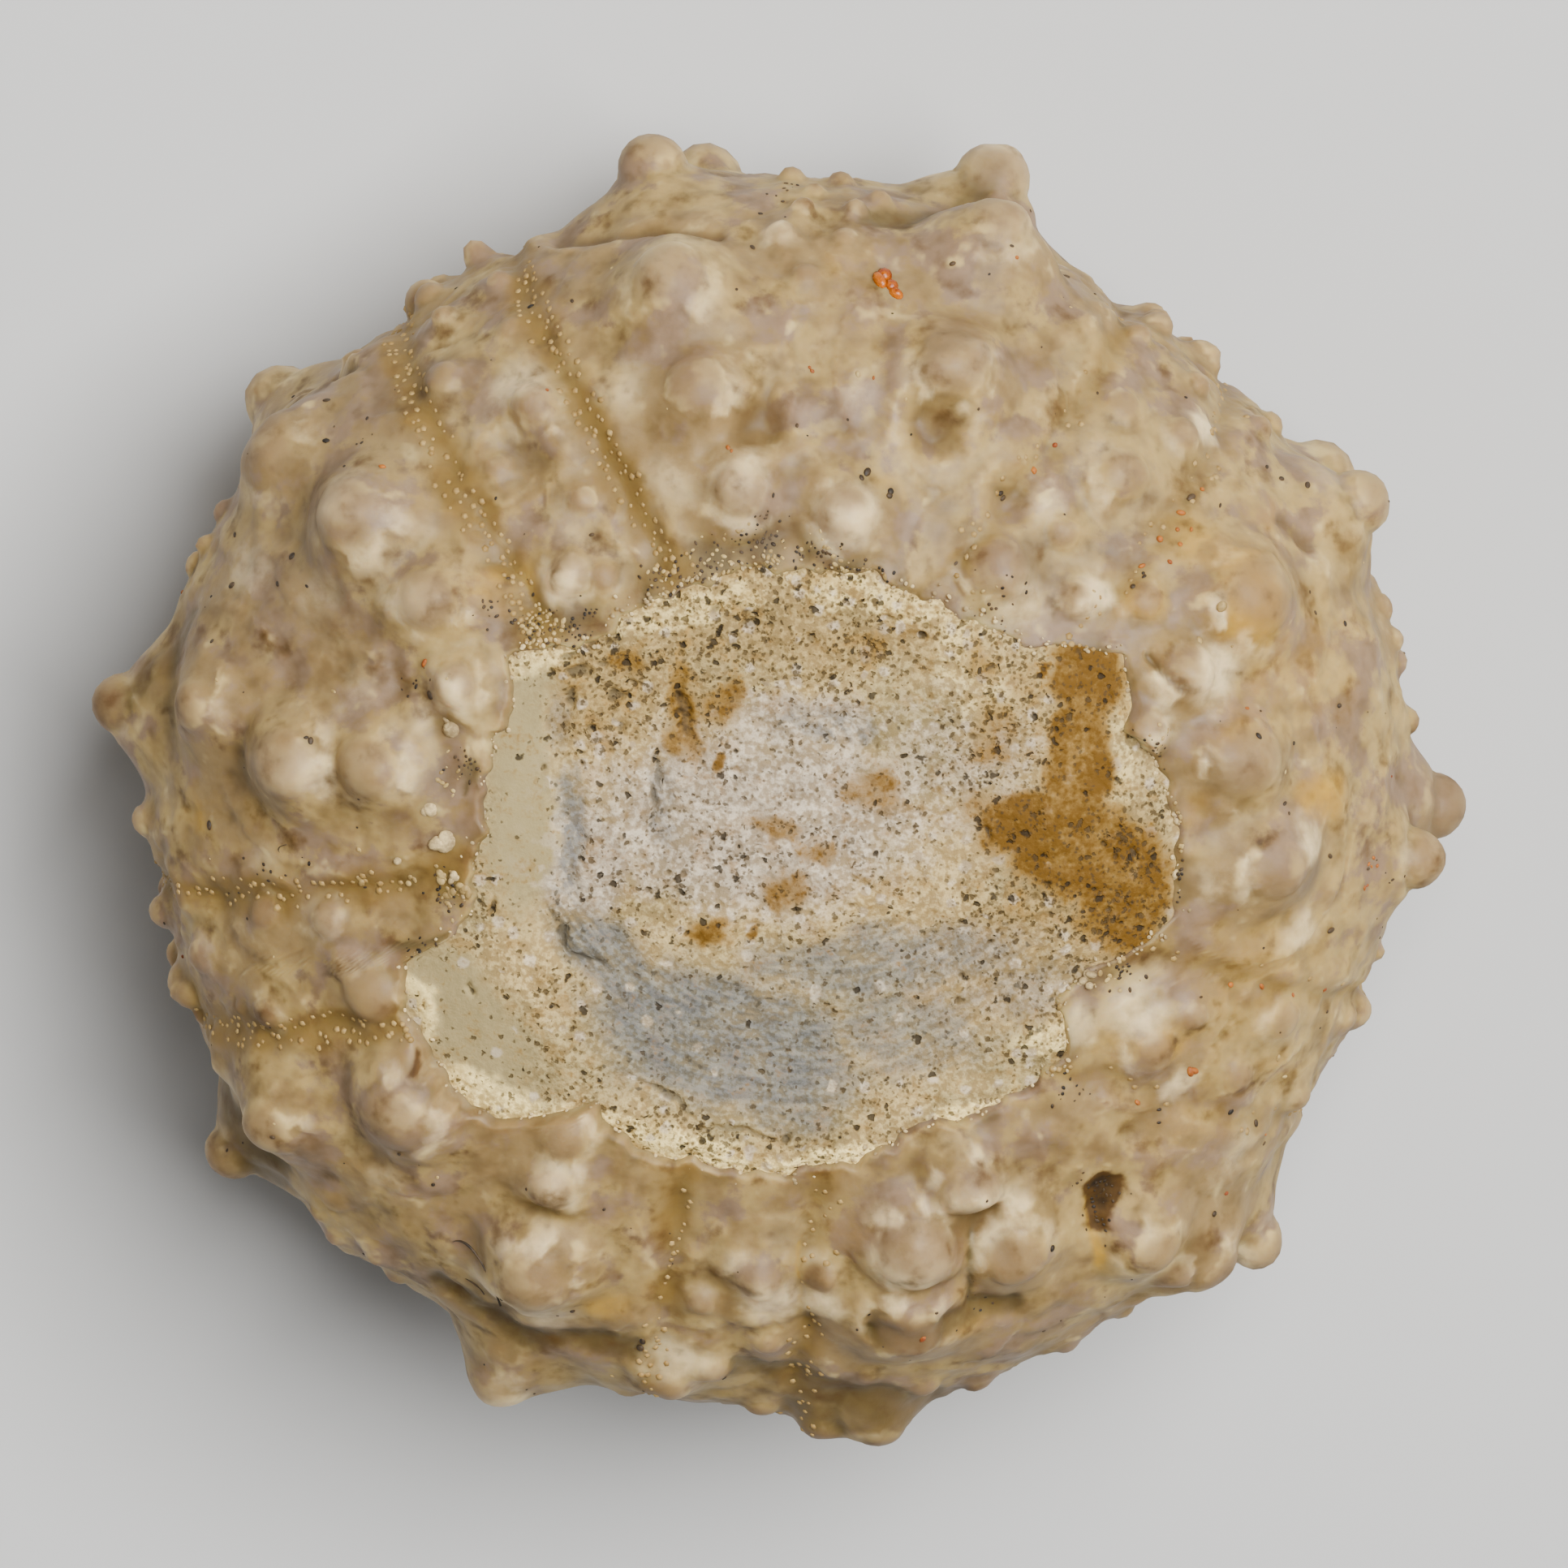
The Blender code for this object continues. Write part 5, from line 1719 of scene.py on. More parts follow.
# On the test: across, above and radius in millimetres, and strength
STAINS: dict[Pigment, tuple[Spot, ...]] = {
    Pigment.WHITE: (
        # Partly the chalk's own white, partly painted highlights on the balls and crests
        (-6.1, 4.0, 0.42, 1.0), (-5.2, 2.7, 0.42, 0.9), (-4.7, 1.5, 0.36, 1.2), (-3.1, 3.05, 0.32, 1.3),
        (-3.7, 5.85, 0.5, 0.9), (-4.3, 5.2, 0.5, 0.5), (-3.0, 3.95, 0.4, 0.5), (-6.7, 0.4, 0.42, 0.9),
        (-5.6, 0.2, 0.32, 0.5), (-5.1, 0.9, 0.32, 0.6), (-0.6, 4.45, 0.46, 1.1), (0.95, 3.95, 0.45, 1.1),
        (6.1, 5.3, 0.36, 1.1), (3.85, 4.2, 0.4, 0.7), (4.45, 2.85, 0.3, 1.2), (3.4, 2.75, 0.5, 0.8),
        (6.1, 1.72, 0.46, 1.2), (6.1, 2.65, 0.14, 1.2), (5.25, 0.9, 0.34, 1.1), (7.4, -0.65, 0.42, 0.9),
        (7.5, -2.0, 0.34, 0.9), (6.2, -1.4, 0.42, 0.6), (5.15, -3.1, 0.52, 0.9), (4.3, -3.3, 0.38, 0.8),
        (5.75, -4.3, 0.32, 0.9), (2.4, -5.7, 0.28, 0.9), (2.8, -5.6, 0.28, 1.1), (3.25, -5.8, 0.28, 1.0),
        (1.75, -6.6, 0.5, 1.1), (-0.25, -7.25, 0.44, 1.2), (0.55, -7.35, 0.3, 1.0),
        (-3.2, -5.6, 0.42, 0.9), (-3.8, -8.4, 0.45, 1.0), (-3.45, -7.35, 0.5, 1.0),
        (-4.15, -7.0, 0.36, 0.8), (-1.45, -8.2, 0.48, 1.0), (3.15, 8.95, 0.42, 1.1), (2.1, 8.9, 0.36, 0.8),
        (0.0, 7.95, 0.26, 0.9), (-1.55, 7.35, 0.7, 0.6), (3.15, 7.6, 0.6, 0.5), (-2.15, 5.85, 0.45, 0.6),
        (-1.55, 4.4, 0.46, 0.6), (1.0, 5.85, 0.4, 0.6), (2.65, 6.1, 0.34, 0.7), (4.55, 4.8, 0.5, 0.5),
        (-7.45, -4.65, 0.5, 0.9), (-7.9, -4.3, 0.4, 0.7), (-7.8, -2.05, 0.45, 0.5),
        (-6.65, -1.95, 0.4, 0.7), (-5.2, -4.4, 0.3, 0.7), (-7.4, 5.25, 0.5, 0.5), (-7.7, 3.25, 0.6, 0.6),
        (-6.6, 2.9, 0.5, 0.5), (-5.55, 4.2, 0.45, 0.5), (-6.1, 1.5, 0.4, 0.5), (6.55, -5.2, 0.5, 0.6),
        (6.3, -6.65, 0.46, 1.0), (7.5, 4.4, 0.5, 0.5), (1.6, 5.2, 0.25, 0.6), (2.2, 5.9, 0.25, 0.6),
        (2.8, 5.2, 0.25, 0.6), (-7.4, -1.0, 0.4, 0.5), (-5.7, -5.6, 0.4, 0.5),
    ),
    Pigment.BROWN: (
        (2.2, 5.25, 0.42, 1.1), (-0.35, 5.25, 0.42, 1.1), (3.25, 4.3, 0.3, 0.7), (-3.8, 4.85, 0.4, 0.6),
        (-4.0, 3.35, 0.4, 1.0), (-6.6, 2.85, 0.26, 0.8), (-6.0, 2.4, 0.26, 0.6), (-6.25, 1.7, 0.3, 0.9),
        (-7.2, 1.85, 0.3, 0.6), (-7.0, 4.0, 0.3, 0.5), (-7.65, 0.3, 0.34, 0.6), (-6.45, 0.2, 0.2, 0.8),
        (-4.75, 0.85, 0.26, 0.7), (-5.45, 1.7, 0.26, 0.9), (-6.05, -3.0, 0.5, 0.6),
        (-7.3, -5.3, 0.26, 0.8), (-4.35, -6.35, 0.32, 0.7), (-3.5, -6.0, 0.3, 0.6),
        (-1.5, -6.2, 0.6, 0.55), (-1.45, -7.25, 0.6, 0.75), (1.9, -5.3, 0.32, 0.7),
        (3.55, -5.35, 0.4, 0.6), (2.8, -6.15, 0.36, 0.9), (1.5, -7.5, 0.36, 1.1), (0.6, -7.9, 0.3, 0.8),
        (5.25, -4.75, 0.34, 0.7), (-5.6, 5.9, 0.5, 0.6), (-4.4, 6.8, 0.4, 0.5), (-5.9, -5.3, 0.3, 0.7),
        (-2.8, 2.3, 0.4, 0.9), (-2.1, 2.9, 0.4, 0.7), (-1.0, 3.5, 0.4, 0.7), (0.1, 3.65, 0.34, 0.8),
        (-3.6, 2.55, 0.4, 0.9), (1.55, 3.2, 0.3, 0.5), (2.55, 6.5, 0.40, 0.7),
    ),
    Pigment.OLIVE: (
        (-3.6, 2.45, 0.30, 1.0), (-3.1, 2.4, 0.28, 1.1), (-1.7, 3.05, 0.28, 1.0), (-1.0, 3.3, 0.32, 1.1),
        (-0.3, 3.45, 0.3, 1.0), (0.5, 3.4, 0.28, 0.9), (1.1, 3.05, 0.24, 0.7), (1.2, 4.45, 0.14, 0.8),
        (1.6, 4.25, 0.14, 0.7), (3.2, 4.3, 0.16, 0.7), (-4.5, 0.3, 0.2, 0.8), (5.3, 0.5, 0.24, 0.6),
    ),
    Pigment.TAN: (
        (-6.5, 4.1, 0.5, 1.1), (2.55, 6.5, 0.42, 1.4), (-3.0, 6.6, 0.5, 0.5), (9.85, -0.1, 0.5, 0.9),
        (2.55, 6.55, 0.44, 1.0), (1.0, 6.5, 0.9, 0.6), (-1.1, 6.3, 0.5, 0.6), (-6.5, 4.1, 0.55, 0.7),
        (-5.3, 2.5, 0.5, 0.5), (-7.25, 0.35, 0.6, 0.8), (-6.15, 0.2, 0.45, 0.7), (-5.7, -5.0, 0.65, 1.0),
        (-6.05, -3.0, 0.55, 0.8), (-4.9, 1.35, 0.4, 0.5), (-2.9, 3.6, 0.5, 0.6), (-0.8, 4.5, 0.5, 0.5),
        (8.55, 4.2, 0.4, 0.7), (0.6, 4.1, 0.5, 0.4), (9.2, 0.2, 0.6, 0.9), (3.4, -5.0, 0.8, 0.5),
        (1.4, -6.2, 0.8, 0.5), (-4.4, -5.3, 0.8, 0.4), (8.3, -1.5, 0.7, 0.5), (5.6, -3.0, 0.6, 0.4),
        (-9.6, 1.2, 0.5, 0.7), (3.3, 8.1, 0.6, 0.6), (-7.3, 5.4, 0.5, 0.4),
    ),
    Pigment.OCHRE: (
        (7.2, 2.2, 2.0, 0.5), (7.0, -2.6, 1.8, 0.45), (5.8, -4.6, 1.4, 0.4), (2.6, -6.8, 1.2, 0.35),
        (1.2, 6.6, 1.2, 0.3), (-6.9, -5.4, 0.9, 0.3), (-8.0, -0.6, 1.2, 0.3), (6.55, 2.6, 0.6, 1.1),
        (6.3, 3.25, 0.5, 0.8), (7.0, 1.35, 0.6, 0.6), (7.75, -0.05, 0.46, 1.0), (5.6, -3.6, 0.45, 0.9),
        (-3.9, 2.9, 0.4, 1.0), (-2.6, -7.35, 0.4, 0.7), (-8.45, -0.3, 0.36, 0.8), (-8.8, 1.85, 0.5, 0.6),
        (5.1, 2.8, 0.5, 0.7), (4.8, -3.7, 0.4, 0.6), (1.0, -6.3, 0.4, 0.5), (2.8, -7.5, 0.5, 0.6),
        (6.9, 3.95, 0.5, 0.6), (1.6, 4.45, 0.3, 0.5), (5.9, 3.6, 0.5, 0.7), (6.4, 0.9, 0.5, 0.6),
        (5.9, -0.3, 0.5, 0.5), (7.2, -4.0, 0.6, 0.4), (0.9, 7.6, 0.6, 0.4), (-4.6, 4.0, 0.3, 0.5),
        (7.5, 0.9, 0.7, 0.4),
    ),
    Pigment.GREY: (
        # The first three, broad ones over the upper left, are painted shade
        (-6.6, 3.4, 2.4, 0.62), (-5.4, 5.6, 1.6, 0.6), (-8.6, 1.4, 1.4, 0.45), (4.6, 5.4, 1.2, 0.35),
        (-0.8, -7.0, 1.2, 0.5), (-1.4, -6.4, 0.8, 0.5), (7.5, -1.2, 0.46, 1.1), (7.25, 3.05, 0.52, 1.0),
        (6.2, 0.45, 0.5, 0.7), (7.0, 0.5, 0.4, 0.7), (4.8, 3.4, 0.48, 0.8), (3.5, 3.25, 0.55, 0.9),
        (5.25, 4.2, 0.42, 0.7), (2.2, 3.95, 0.36, 0.7), (-0.1, 3.8, 0.34, 0.8), (4.1, 6.2, 0.5, 0.7),
        (-3.1, 7.35, 0.55, 0.7), (7.95, 4.9, 0.42, 0.7), (-6.3, -3.9, 0.34, 0.7), (5.3, -4.75, 0.4, 0.6),
        (0.0, -6.4, 0.5, 0.7), (-4.3, -6.3, 0.4, 0.6), (-3.7, 4.9, 0.5, 0.7), (9.75, -0.15, 0.5, 1.0),
        (-3.9, 7.9, 0.5, 0.6), (-8.2, 2.6, 0.5, 0.6), (6.9, 4.1, 0.4, 0.6), (-5.0, 0.3, 0.4, 0.5),
        (-6.9, -2.5, 0.4, 0.5), (0.0, -8.7, 1.2, 0.5),
    ),
}  # fmt: skip

# On the stone: across, above, half length and half width in millimetres, turn in degrees, and strength
BEDS: dict[Bed, tuple[tuple[float, ...], ...]] = {
    Bed.SMOOTH: (
        (-3.75, 0.0, 1.9, 0.5, 90, 1.0), (-4.5, -3.2, 1.4, 0.6, -48, 0.9), (-3.6, 1.5, 0.5, 0.4, 0, 0.8),
    ),
    Bed.WHITE: (
        (-0.4, -0.4, 2.7, 1.5, 0, 1.0), (-2.85, -1.0, 0.8, 0.9, 0, 1.1), (2.6, 0.3, 1.4, 1.2, 0, 0.6),
        (3.0, -2.6, 1.6, 0.8, 0, 0.35), (0.3, 1.0, 1.2, 0.5, 0, 0.9),
    ),
    Bed.OLIVE: (
        (0.2, 2.5, 3.7, 0.95, 0, 0.9), (-3.0, 2.5, 0.6, 0.35, 0, 1.3), (-1.1, 3.1, 1.1, 0.3, 8, 1.3),
        (-2.7, 1.5, 0.9, 0.85, 0, 1.8), (1.5, 2.9, 0.8, 0.3, 0, 1.0), (3.6, -2.3, 1.6, 0.9, 12, 1.5),
        (3.2, 1.1, 0.9, 1.2, 0, 0.9), (-1.3, 1.2, 0.5, 0.8, 0, 1.0), (5.1, -0.9, 0.5, 1.2, 0, 0.9),
        (1.0, -5.1, 1.8, 0.3, 0, 0.7), (-2.0, -1.6, 0.7, 0.5, 0, 0.5), (0.0, -0.9, 1.2, 0.7, 0, 0.5),
        (-1.6, -4.9, 0.8, 0.3, -20, 0.8), (3.6, 2.5, 0.9, 0.4, 0, 0.9),
    ),
    Bed.SLATE: (
        (-0.8, -3.6, 2.1, 1.1, -18, 1.15), (-2.3, -2.5, 1.4, 0.5, -38, 1.0),
        (1.3, -2.5, 2.4, 0.6, 8, 0.85), (3.3, -2.9, 1.2, 0.5, 20, 0.55), (-3.1, -0.6, 1.0, 0.22, 90, 0.9),
        (1.8, -3.5, 1.4, 0.7, 0, 0.8), (0.0, -4.6, 1.0, 0.4, -10, 0.8), (0.7, 0.9, 0.9, 0.3, 0, 0.7),
        (-1.7, -0.2, 0.3, 0.7, 0, 0.6), (-3.2, 0.9, 0.5, 0.2, 90, 0.6),
    ),
    Bed.CREAM: (
        (-5.25, -2.9, 0.7, 0.18, -65, 1.1), (-4.35, -4.35, 0.9, 0.4, -25, 1.3),
        (-2.7, -4.75, 0.9, 0.28, -8, 1.0), (-1.4, -5.15, 1.0, 0.28, -18, 1.1),
        (0.8, -5.4, 1.5, 0.28, 4, 1.2), (2.5, -4.75, 0.9, 0.22, 26, 1.1), (1.6, 2.8, 1.8, 0.4, -12, 0.6),
        (-1.4, 2.6, 1.4, 0.3, 12, 0.6), (2.7, 1.6, 0.5, 1.1, 20, 0.55), (-3.5, 1.9, 0.7, 0.24, 0, 0.7),
        (4.9, 0.6, 0.3, 1.6, 0, 0.5), (3.9, -3.4, 0.9, 0.25, 32, 0.7),
    ),
    Bed.RUST: (
        (4.42, 1.66, 0.72, 0.54, 90, 1.4), (4.3, 0.5, 0.9, 0.42, 92, 1.35),
        (3.6, -0.42, 0.9, 0.42, 14, 1.3), (4.3, -0.75, 0.95, 0.75, 0, 1.5),
        (4.8, -1.5, 0.75, 0.55, 105, 1.35), (5.05, -1.95, 0.5, 0.26, 0, 1.1),
        (5.35, -1.2, 0.35, 0.8, 0, 1.0), (3.0, -0.2, 0.4, 0.3, 0, 0.6), (3.0, 0.9, 0.3, 0.5, 0, 0.55),
        (-1.4, 1.2, 0.26, 0.7, 8, 0.95), (-0.8, 1.3, 0.3, 0.3, 0, 0.7), (-1.6, 0.75, 0.25, 0.2, 0, 0.9),
        (-1.1, -2.0, 0.36, 0.2, 0, 1.05), (-0.3, -2.1, 0.09, 0.16, 0, 0.95),
        (-0.93, 0.48, 0.09, 0.12, 0, 1.0), (0.0, -1.4, 0.3, 0.25, 0, 0.7), (1.3, 0.0, 0.4, 0.3, 0, 0.6),
        (3.74, 1.73, 0.06, 0.1, 0, 1.1), (-0.1, -0.5, 0.5, 0.2, 0, 0.6), (0.5, -0.9, 0.35, 0.15, 20, 0.65),
        (2.8, 1.9, 0.2, 0.3, 0, 0.6), (-2.2, 1.9, 0.3, 0.2, 0, 0.6), (1.3, 2.0, 0.25, 0.25, 0, 0.55),
    ),
    Bed.SHADE: (
        (-1.4, 1.2, 0.55, 0.13, 98, 0.8), (-1.75, 0.3, 0.36, 0.07, 105, 0.9),
        (-1.85, -0.2, 0.3, 0.07, 85, 0.9), (-3.15, -2.0, 0.42, 0.06, -55, 1.2),
        (-2.7, -2.4, 0.5, 0.05, -30, 1.0), (-1.7, -4.45, 0.5, 0.06, -40, 0.9),
        (-0.6, -4.95, 0.7, 0.05, -12, 0.8), (-4.45, 0.4, 0.3, 0.05, 95, 1.0),
        (-4.2, -1.6, 0.12, 0.05, 60, 0.9), (0.0, -4.97, 0.09, 0.08, 0, 1.3),
        (0.03, -5.45, 0.06, 0.06, 0, 1.2), (2.0, 2.17, 0.06, 0.06, 0, 1.3), (1.7, 3.1, 0.10, 0.08, 0, 1.2),
        (2.92, 1.9, 0.12, 0.05, 40, 1.1), (5.1, -0.82, 0.07, 0.07, 0, 1.2),
        (2.88, -0.62, 0.06, 0.06, 0, 1.2), (-4.55, -2.88, 0.05, 0.05, 0, 1.3),
        (-5.2, -3.15, 0.05, 0.04, 0, 1.2), (-3.3, -3.15, 0.07, 0.05, 0, 1.2),
        (4.71, -1.73, 0.08, 0.06, 0, 1.2), (-3.0, 1.9, 0.13, 0.09, 30, 0.9),
        (-2.85, 1.62, 0.12, 0.10, 0, 0.9), (-3.05, 1.3, 0.11, 0.08, 60, 0.9),
        (-2.6, 1.8, 0.12, 0.07, 0, 0.85), (-2.45, 1.4, 0.10, 0.08, 0, 0.9),
        (-2.75, 1.05, 0.09, 0.08, 0, 0.85), (-2.2, 1.6, 0.09, 0.07, 0, 0.85),
        (-2.35, 0.95, 0.08, 0.08, 0, 0.85), (-2.75, 2.15, 0.10, 0.08, 0, 0.85),
        (-1.0, 2.6, 0.10, 0.07, 20, 0.8), (-0.5, 2.35, 0.09, 0.07, 0, 0.8),
        (0.4, 2.3, 0.10, 0.07, 40, 0.8), (1.5, 2.5, 0.09, 0.07, 0, 0.8),
    ),
}  # fmt: skip

# Grains on the test: across, above and radius (of clouds, the reach) in millimetres, and how many
DARK_SPECKS: tuple[Spot, ...] = (
    (-9.5, 1.6, 0.05, 1), (-7.0, -4.65, 0.05, 1), (6.2, -6.0, 0.06, 1), (3.85, -6.4, 0.05, 1),
    (-8.3, -0.45, 0.06, 1), (-5.0, -5.65, 0.04, 1), (-3.0, -7.4, 0.05, 1), (-2.05, -8.0, 0.06, 2),
    (-7.05, 3.4, 0.06, 1), (-7.95, 3.0, 0.05, 1), (-7.9, 3.7, 0.04, 1), (-7.25, 3.0, 0.04, 1),
    (-8.25, 2.8, 0.04, 1), (-6.45, 5.55, 0.05, 1), (-6.45, 5.0, 0.04, 2), (-5.0, 1.4, 0.05, 2),
    (-6.6, 0.85, 0.04, 3), (5.9, 4.28, 0.07, 1), (5.0, 2.95, 0.05, 1), (5.17, 3.15, 0.04, 2),
    (7.17, 4.47, 0.04, 1), (6.97, 4.7, 0.04, 1), (7.4, 4.32, 0.04, 1), (7.7, 2.6, 0.04, 1),
    (8.1, 2.45, 0.04, 1), (8.1, 1.25, 0.04, 1), (6.6, 0.85, 0.04, 1), (7.35, 0.75, 0.04, 1),
    (7.15, -0.12, 0.04, 1), (7.9, -0.93, 0.04, 1), (7.93, -1.98, 0.05, 1), (-0.3, 8.35, 0.04, 1),
    (-0.4, 7.85, 0.04, 1), (-1.4, 7.98, 0.04, 1), (4.1, 7.45, 0.06, 1), (-3.65, 7.05, 0.04, 1),
    (-3.0, 7.1, 0.04, 1), (2.4, 7.4, 0.04, 1), (5.5, -4.62, 0.04, 1), (6.5, -4.65, 0.04, 1),
    (6.9, -4.85, 0.05, 1), (1.2, 4.5, 0.05, 3), (1.55, 4.25, 0.05, 2), (3.2, 4.3, 0.05, 2),
)  # fmt: skip
DARK_CLOUDS: tuple[Spot, ...] = (
    (-3.6, 2.45, 0.30, 30), (-3.1, 2.35, 0.30, 30), (-2.8, 2.6, 0.20, 14), (-1.7, 3.05, 0.40, 34),
    (-1.0, 3.3, 0.40, 40), (-0.3, 3.45, 0.40, 36), (0.5, 3.4, 0.40, 30), (1.1, 3.05, 0.35, 24),
    (-0.2, 4.0, 0.20, 10), (3.0, 2.7, 0.50, 20), (-4.6, 0.4, 0.25, 20), (-4.8, -1.5, 0.30, 20),
    (-5.2, -2.3, 0.25, 14), (5.3, 0.6, 0.35, 20), (5.5, -1.2, 0.30, 18), (4.9, -2.6, 0.35, 20),
    (-4.2, 2.6, 0.20, 10), (4.2, -4.4, 0.40, 12), (-7.6, -1.25, 0.40, 10), (0.0, 8.6, 0.30, 12),
    (8.6, -1.2, 0.15, 6), (-5.3, 1.6, 0.20, 8), (-6.0, 5.0, 0.30, 8), (2.9, -7.3, 0.30, 8),
    (4.70, -5.8, 0.22, 26), (4.6, -6.2, 0.20, 18), (4.3, -5.7, 0.15, 6),
)  # fmt: skip
PALE_CLOUDS: tuple[Spot, ...] = (
    (-3.5, 2.4, 0.35, 26), (-1.7, 3.05, 0.40, 20), (-1.0, 3.3, 0.40, 26), (-0.3, 3.45, 0.40, 22),
    (0.5, 3.4, 0.40, 16), (1.2, 3.0, 0.35, 12), (3.0, 2.7, 0.50, 8), (-4.7, -1.4, 0.35, 20),
    (-4.7, 0.2, 0.3, 12), (5.3, -0.6, 0.40, 12), (4.8, -2.7, 0.40, 10), (5.2, 0.9, 0.30, 8),
)  # fmt: skip
RUST_SPECKS: tuple[Spot, ...] = (
    (-5.1, 1.85, 0.06, 1), (3.65, 4.67, 0.05, 2), (5.95, -4.05, 0.06, 2), (8.5, -1.0, 0.03, 5),
    (8.4, -1.35, 0.03, 3), (6.1, 4.37, 0.04, 1), (5.8, 4.05, 0.05, 1), (5.7, 3.8, 0.04, 1),
    (5.85, 3.77, 0.04, 1), (5.47, 3.63, 0.05, 1), (5.7, 3.55, 0.04, 1), (5.53, 3.33, 0.04, 1),
    (5.2, 3.25, 0.04, 1), (6.93, -2.83, 0.04, 1), (7.85, -2.85, 0.04, 1), (6.55, -2.8, 0.04, 1),
    (7.4, -2.95, 0.03, 1), (4.0, 5.05, 0.04, 2), (-5.6, 4.6, 0.04, 2), (1.9, -7.5, 0.05, 2),
    (6.6, 1.2, 0.03, 1), (0.4, 6.1, 0.03, 2), (1.3, 5.9, 0.03, 1), (-0.7, 4.9, 0.03, 2),
)  # fmt: skip
CRYSTALS: tuple[Spot, ...] = (
    (1.45, 7.45, 0.12, 1), (1.38, 7.36, 0.10, 1), (1.56, 7.3, 0.12, 1), (1.66, 7.17, 0.09, 1),
)  # fmt: skip
PALE_SPECKS: tuple[Spot, ...] = (
    (-4.9, -1.25, 0.07, 3), (-4.75, -1.5, 0.06, 3), (-4.6, -1.35, 0.06, 3), (-4.8, -1.6, 0.05, 2),
    (-3.6, 2.3, 0.04, 8), (-3.2, 2.4, 0.04, 6), (-4.2, -1.4, 0.05, 3), (6.1, 2.65, 0.08, 1),
    (5.9, 2.2, 0.04, 1), (-5.4, -1.35, 0.05, 4), (-6.1, -1.3, 0.05, 3), (3.0, -3.35, 0.04, 1),
    (7.2, -3.85, 0.04, 1),
)  # fmt: skip
# On the test, as seen in millimetres: a line, its half width, its rise, and its paint, which is painted shade
# along grooves and cracks, a painted highlight along ridges, and ochre along two stained lines
LEDGES: tuple[Ledge, ...] = (
    Ledge(((1.3, -7.55), (2.4, -7.4), (3.3, -7.35)), 0.16, -0.22, Pigment.OLIVE, 1.3),
    Ledge(((2.72, -6.3), (2.7, -7.3)), 0.06, -0.10, Pigment.OLIVE, 1.0),
    Ledge(((2.4, -5.7), (2.9, -5.55), (3.45, -5.85)), 0.20, 0.12, Pigment.WHITE, 0.8),
    Ledge(((2.5, -6.15), (3.1, -6.25)), 0.26, -0.06, Pigment.BROWN, 0.9),
    Ledge(((-0.7, -8.4), (0.2, -8.6), (1.0, -8.65), (2.2, -8.75)), 0.14, -0.16, Pigment.OLIVE, 1.2),
    Ledge(((0.1, -8.95), (0.8, -8.9)), 0.10, -0.10, Pigment.OLIVE, 0.9),
    Ledge(
        ((-5.0, -7.1), (-4.2, -7.5), (-3.8, -7.85), (-3.0, -7.9), (-2.1, -8.0)),
        0.14, -0.16, Pigment.OLIVE, 1.1,
    ),
    Ledge(((0.25, -6.6), (0.25, -7.4)), 0.05, -0.05, Pigment.OCHRE, 0.8),
    Ledge(((1.2, 8.25), (2.0, 8.27), (2.7, 8.3), (3.1, 8.52)), 0.11, -0.16, Pigment.OLIVE, 1.3),
    Ledge(((-3.2, 7.95), (-2.0, 8.05), (-0.9, 8.0)), 0.10, -0.08, Pigment.BROWN, 0.8),
    Ledge(((3.6, 8.0), (4.0, 7.5)), 0.08, -0.08, Pigment.BROWN, 0.9),
    Ledge(((-8.5, 2.6), (-8.8, 1.8), (-9.1, 1.0)), 0.12, -0.10, Pigment.OLIVE, 0.8),
    Ledge(((-7.6, 5.5), (-7.0, 5.9), (-6.2, 6.1)), 0.10, -0.12, Pigment.BROWN, 0.9),
    Ledge(((-7.6, 5.7), (-7.0, 6.1), (-6.2, 6.3)), 0.07, 0.08, Pigment.WHITE, 0.5),
    Ledge(((-8.1, -4.2), (-7.6, -4.7), (-7.3, -5.6)), 0.15, -0.15, Pigment.OLIVE, 1.1),
    Ledge(((-5.6, -2.25), (-5.1, -2.2), (-4.7, -2.05)), 0.08, -0.12, Pigment.OLIVE, 1.2),
    Ledge(((-5.2, -3.6), (-5.2, -3.9)), 0.05, -0.12, Pigment.DEEP_SHADE, 0.7),
    Ledge(((5.25, 1.95), (5.65, 1.5)), 0.07, -0.10, Pigment.BROWN, 1.0),
    Ledge(((7.2, 3.9), (7.6, 3.5)), 0.12, -0.08, Pigment.BROWN, 0.9),
    Ledge(((-4.45, 0.4), (-4.55, -0.05)), 0.06, -0.12, Pigment.OLIVE, 1.3),
    Ledge(((4.45, -6.0), (4.55, -6.7)), 0.10, -0.05, Pigment.OCHRE, 1.0),
)  # fmt: skip
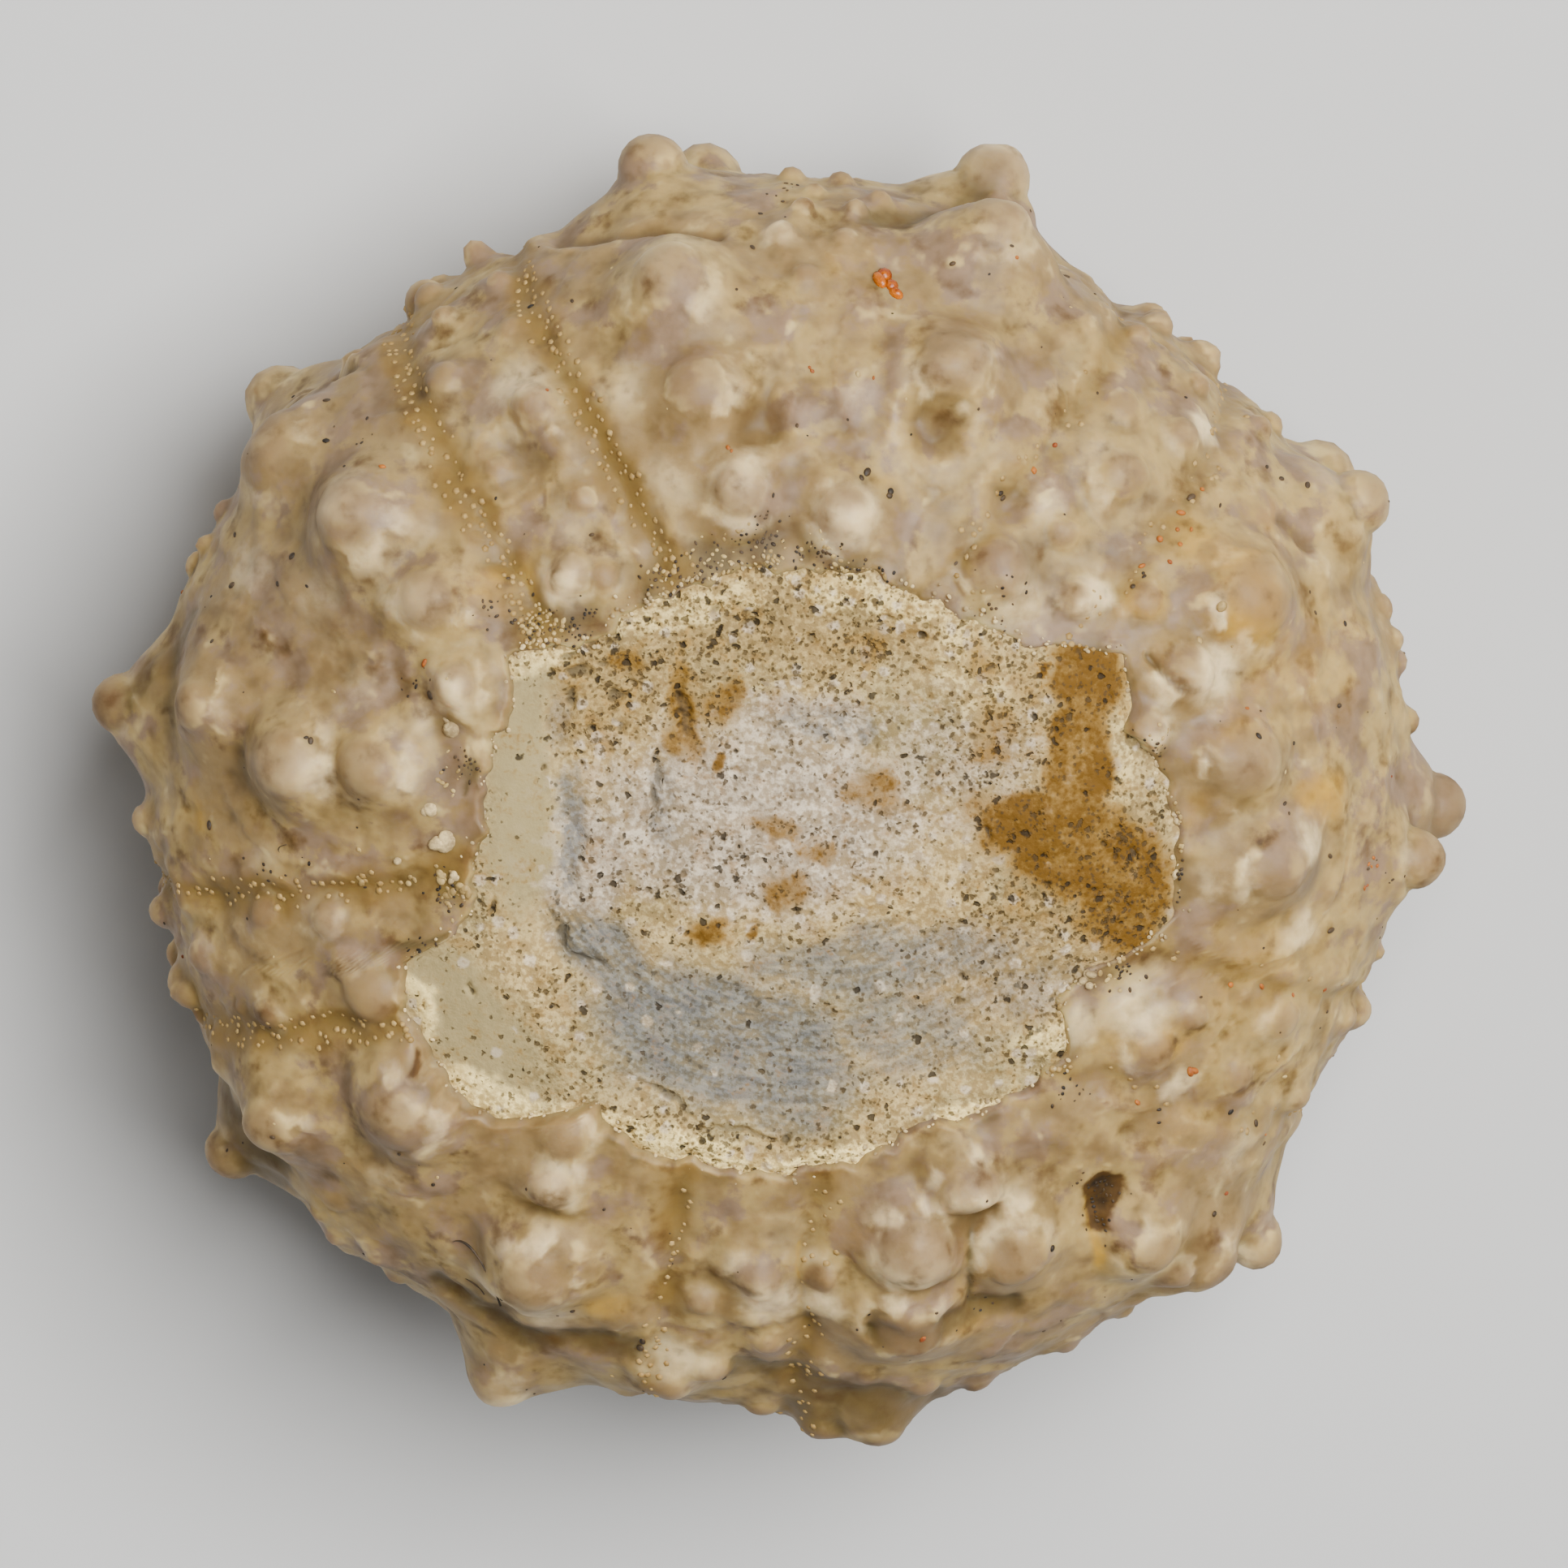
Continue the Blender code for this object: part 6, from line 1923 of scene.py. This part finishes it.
# Dust fibres, as seen in millimetres, and their half thicknesses
FIBRES: tuple[tuple[tuple[float, float], ...], ...] = (
    ((-4.75, -6.45), (-4.3, -6.57), (-3.87, -7.0)), ((-4.5, -6.98), (-4.35, -7.05), (-4.25, -7.18)),
    ((-7.25, -0.85), (-7.18, -0.78), (-7.1, -0.75)),
)  # fmt: skip
FIBRE_THICKNESS = (0.022, 0.014, 0.012)

GRANULE = GrainFinish("pore_granule", (0.27, 0.16, 0.04), (0.40, 0.26, 0.085))
DARK_GRAIN = GrainFinish("dark_grain", (0.012, 0.008, 0.004), (0.07, 0.04, 0.015))
RUST_GRAIN = GrainFinish("rust_grain", (0.20, 0.035, 0.005), (0.42, 0.13, 0.01))
AMBER_CRYSTAL = GrainFinish("amber_crystal", (0.20, 0.025, 0.0), (0.55, 0.14, 0.0), 0.25)
PALE_GRAIN = GrainFinish("pale_grain", (0.28, 0.18, 0.055), (0.52, 0.37, 0.14))
CREAM_CRUMB = GrainFinish("cream_crumb", (0.26, 0.18, 0.08), (0.72, 0.54, 0.26), 0.8)


def main() -> None:
    """Loads the frame, builds the fossil on it and lights it."""
    logging.basicConfig(level=logging.INFO, format="%(name)s: %(message)s")
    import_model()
    test = FossilTest(STAINS, LEDGES)
    surface = test.build(ChalkFinish().material())
    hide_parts("test")
    stone = StoneFill(BEDS).build(test.shift, StoneFinish().material())
    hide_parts("stone_fill")
    seats = Seats(test)
    PoreGranules().build(seats, GRANULE.material())
    dark_finish = DARK_GRAIN.material()
    dark = Grains("dark_grains", DARK_SPECKS, 240, (0.010 * MM, 0.032 * MM), 7, clouds=DARK_CLOUDS)
    dark.build(seats, dark_finish)
    rust = Grains("rust_grains", RUST_SPECKS, 30, (0.02 * MM, 0.04 * MM), 9, 0.7)
    rust.build(seats, RUST_GRAIN.material())
    crystals = Grains("amber_crystals", CRYSTALS, 0, (0.0, 0.0), 15, 0.9)
    crystals.build(seats, AMBER_CRYSTAL.material())
    pale = Grains("pale_grains", PALE_SPECKS, 60, (0.015 * MM, 0.04 * MM), 27, clouds=PALE_CLOUDS)
    pale.build(seats, PALE_GRAIN.material())
    Fibres(FIBRES, FIBRE_THICKNESS).build(seats, dark_finish)
    MouthCrumbs().build(test, CREAM_CRUMB.material())
    Studio().build(Vector(test.shift) + Vector((0.0, 0.0, test.body.rest_depth)))


if __name__ == "__main__":
    main()
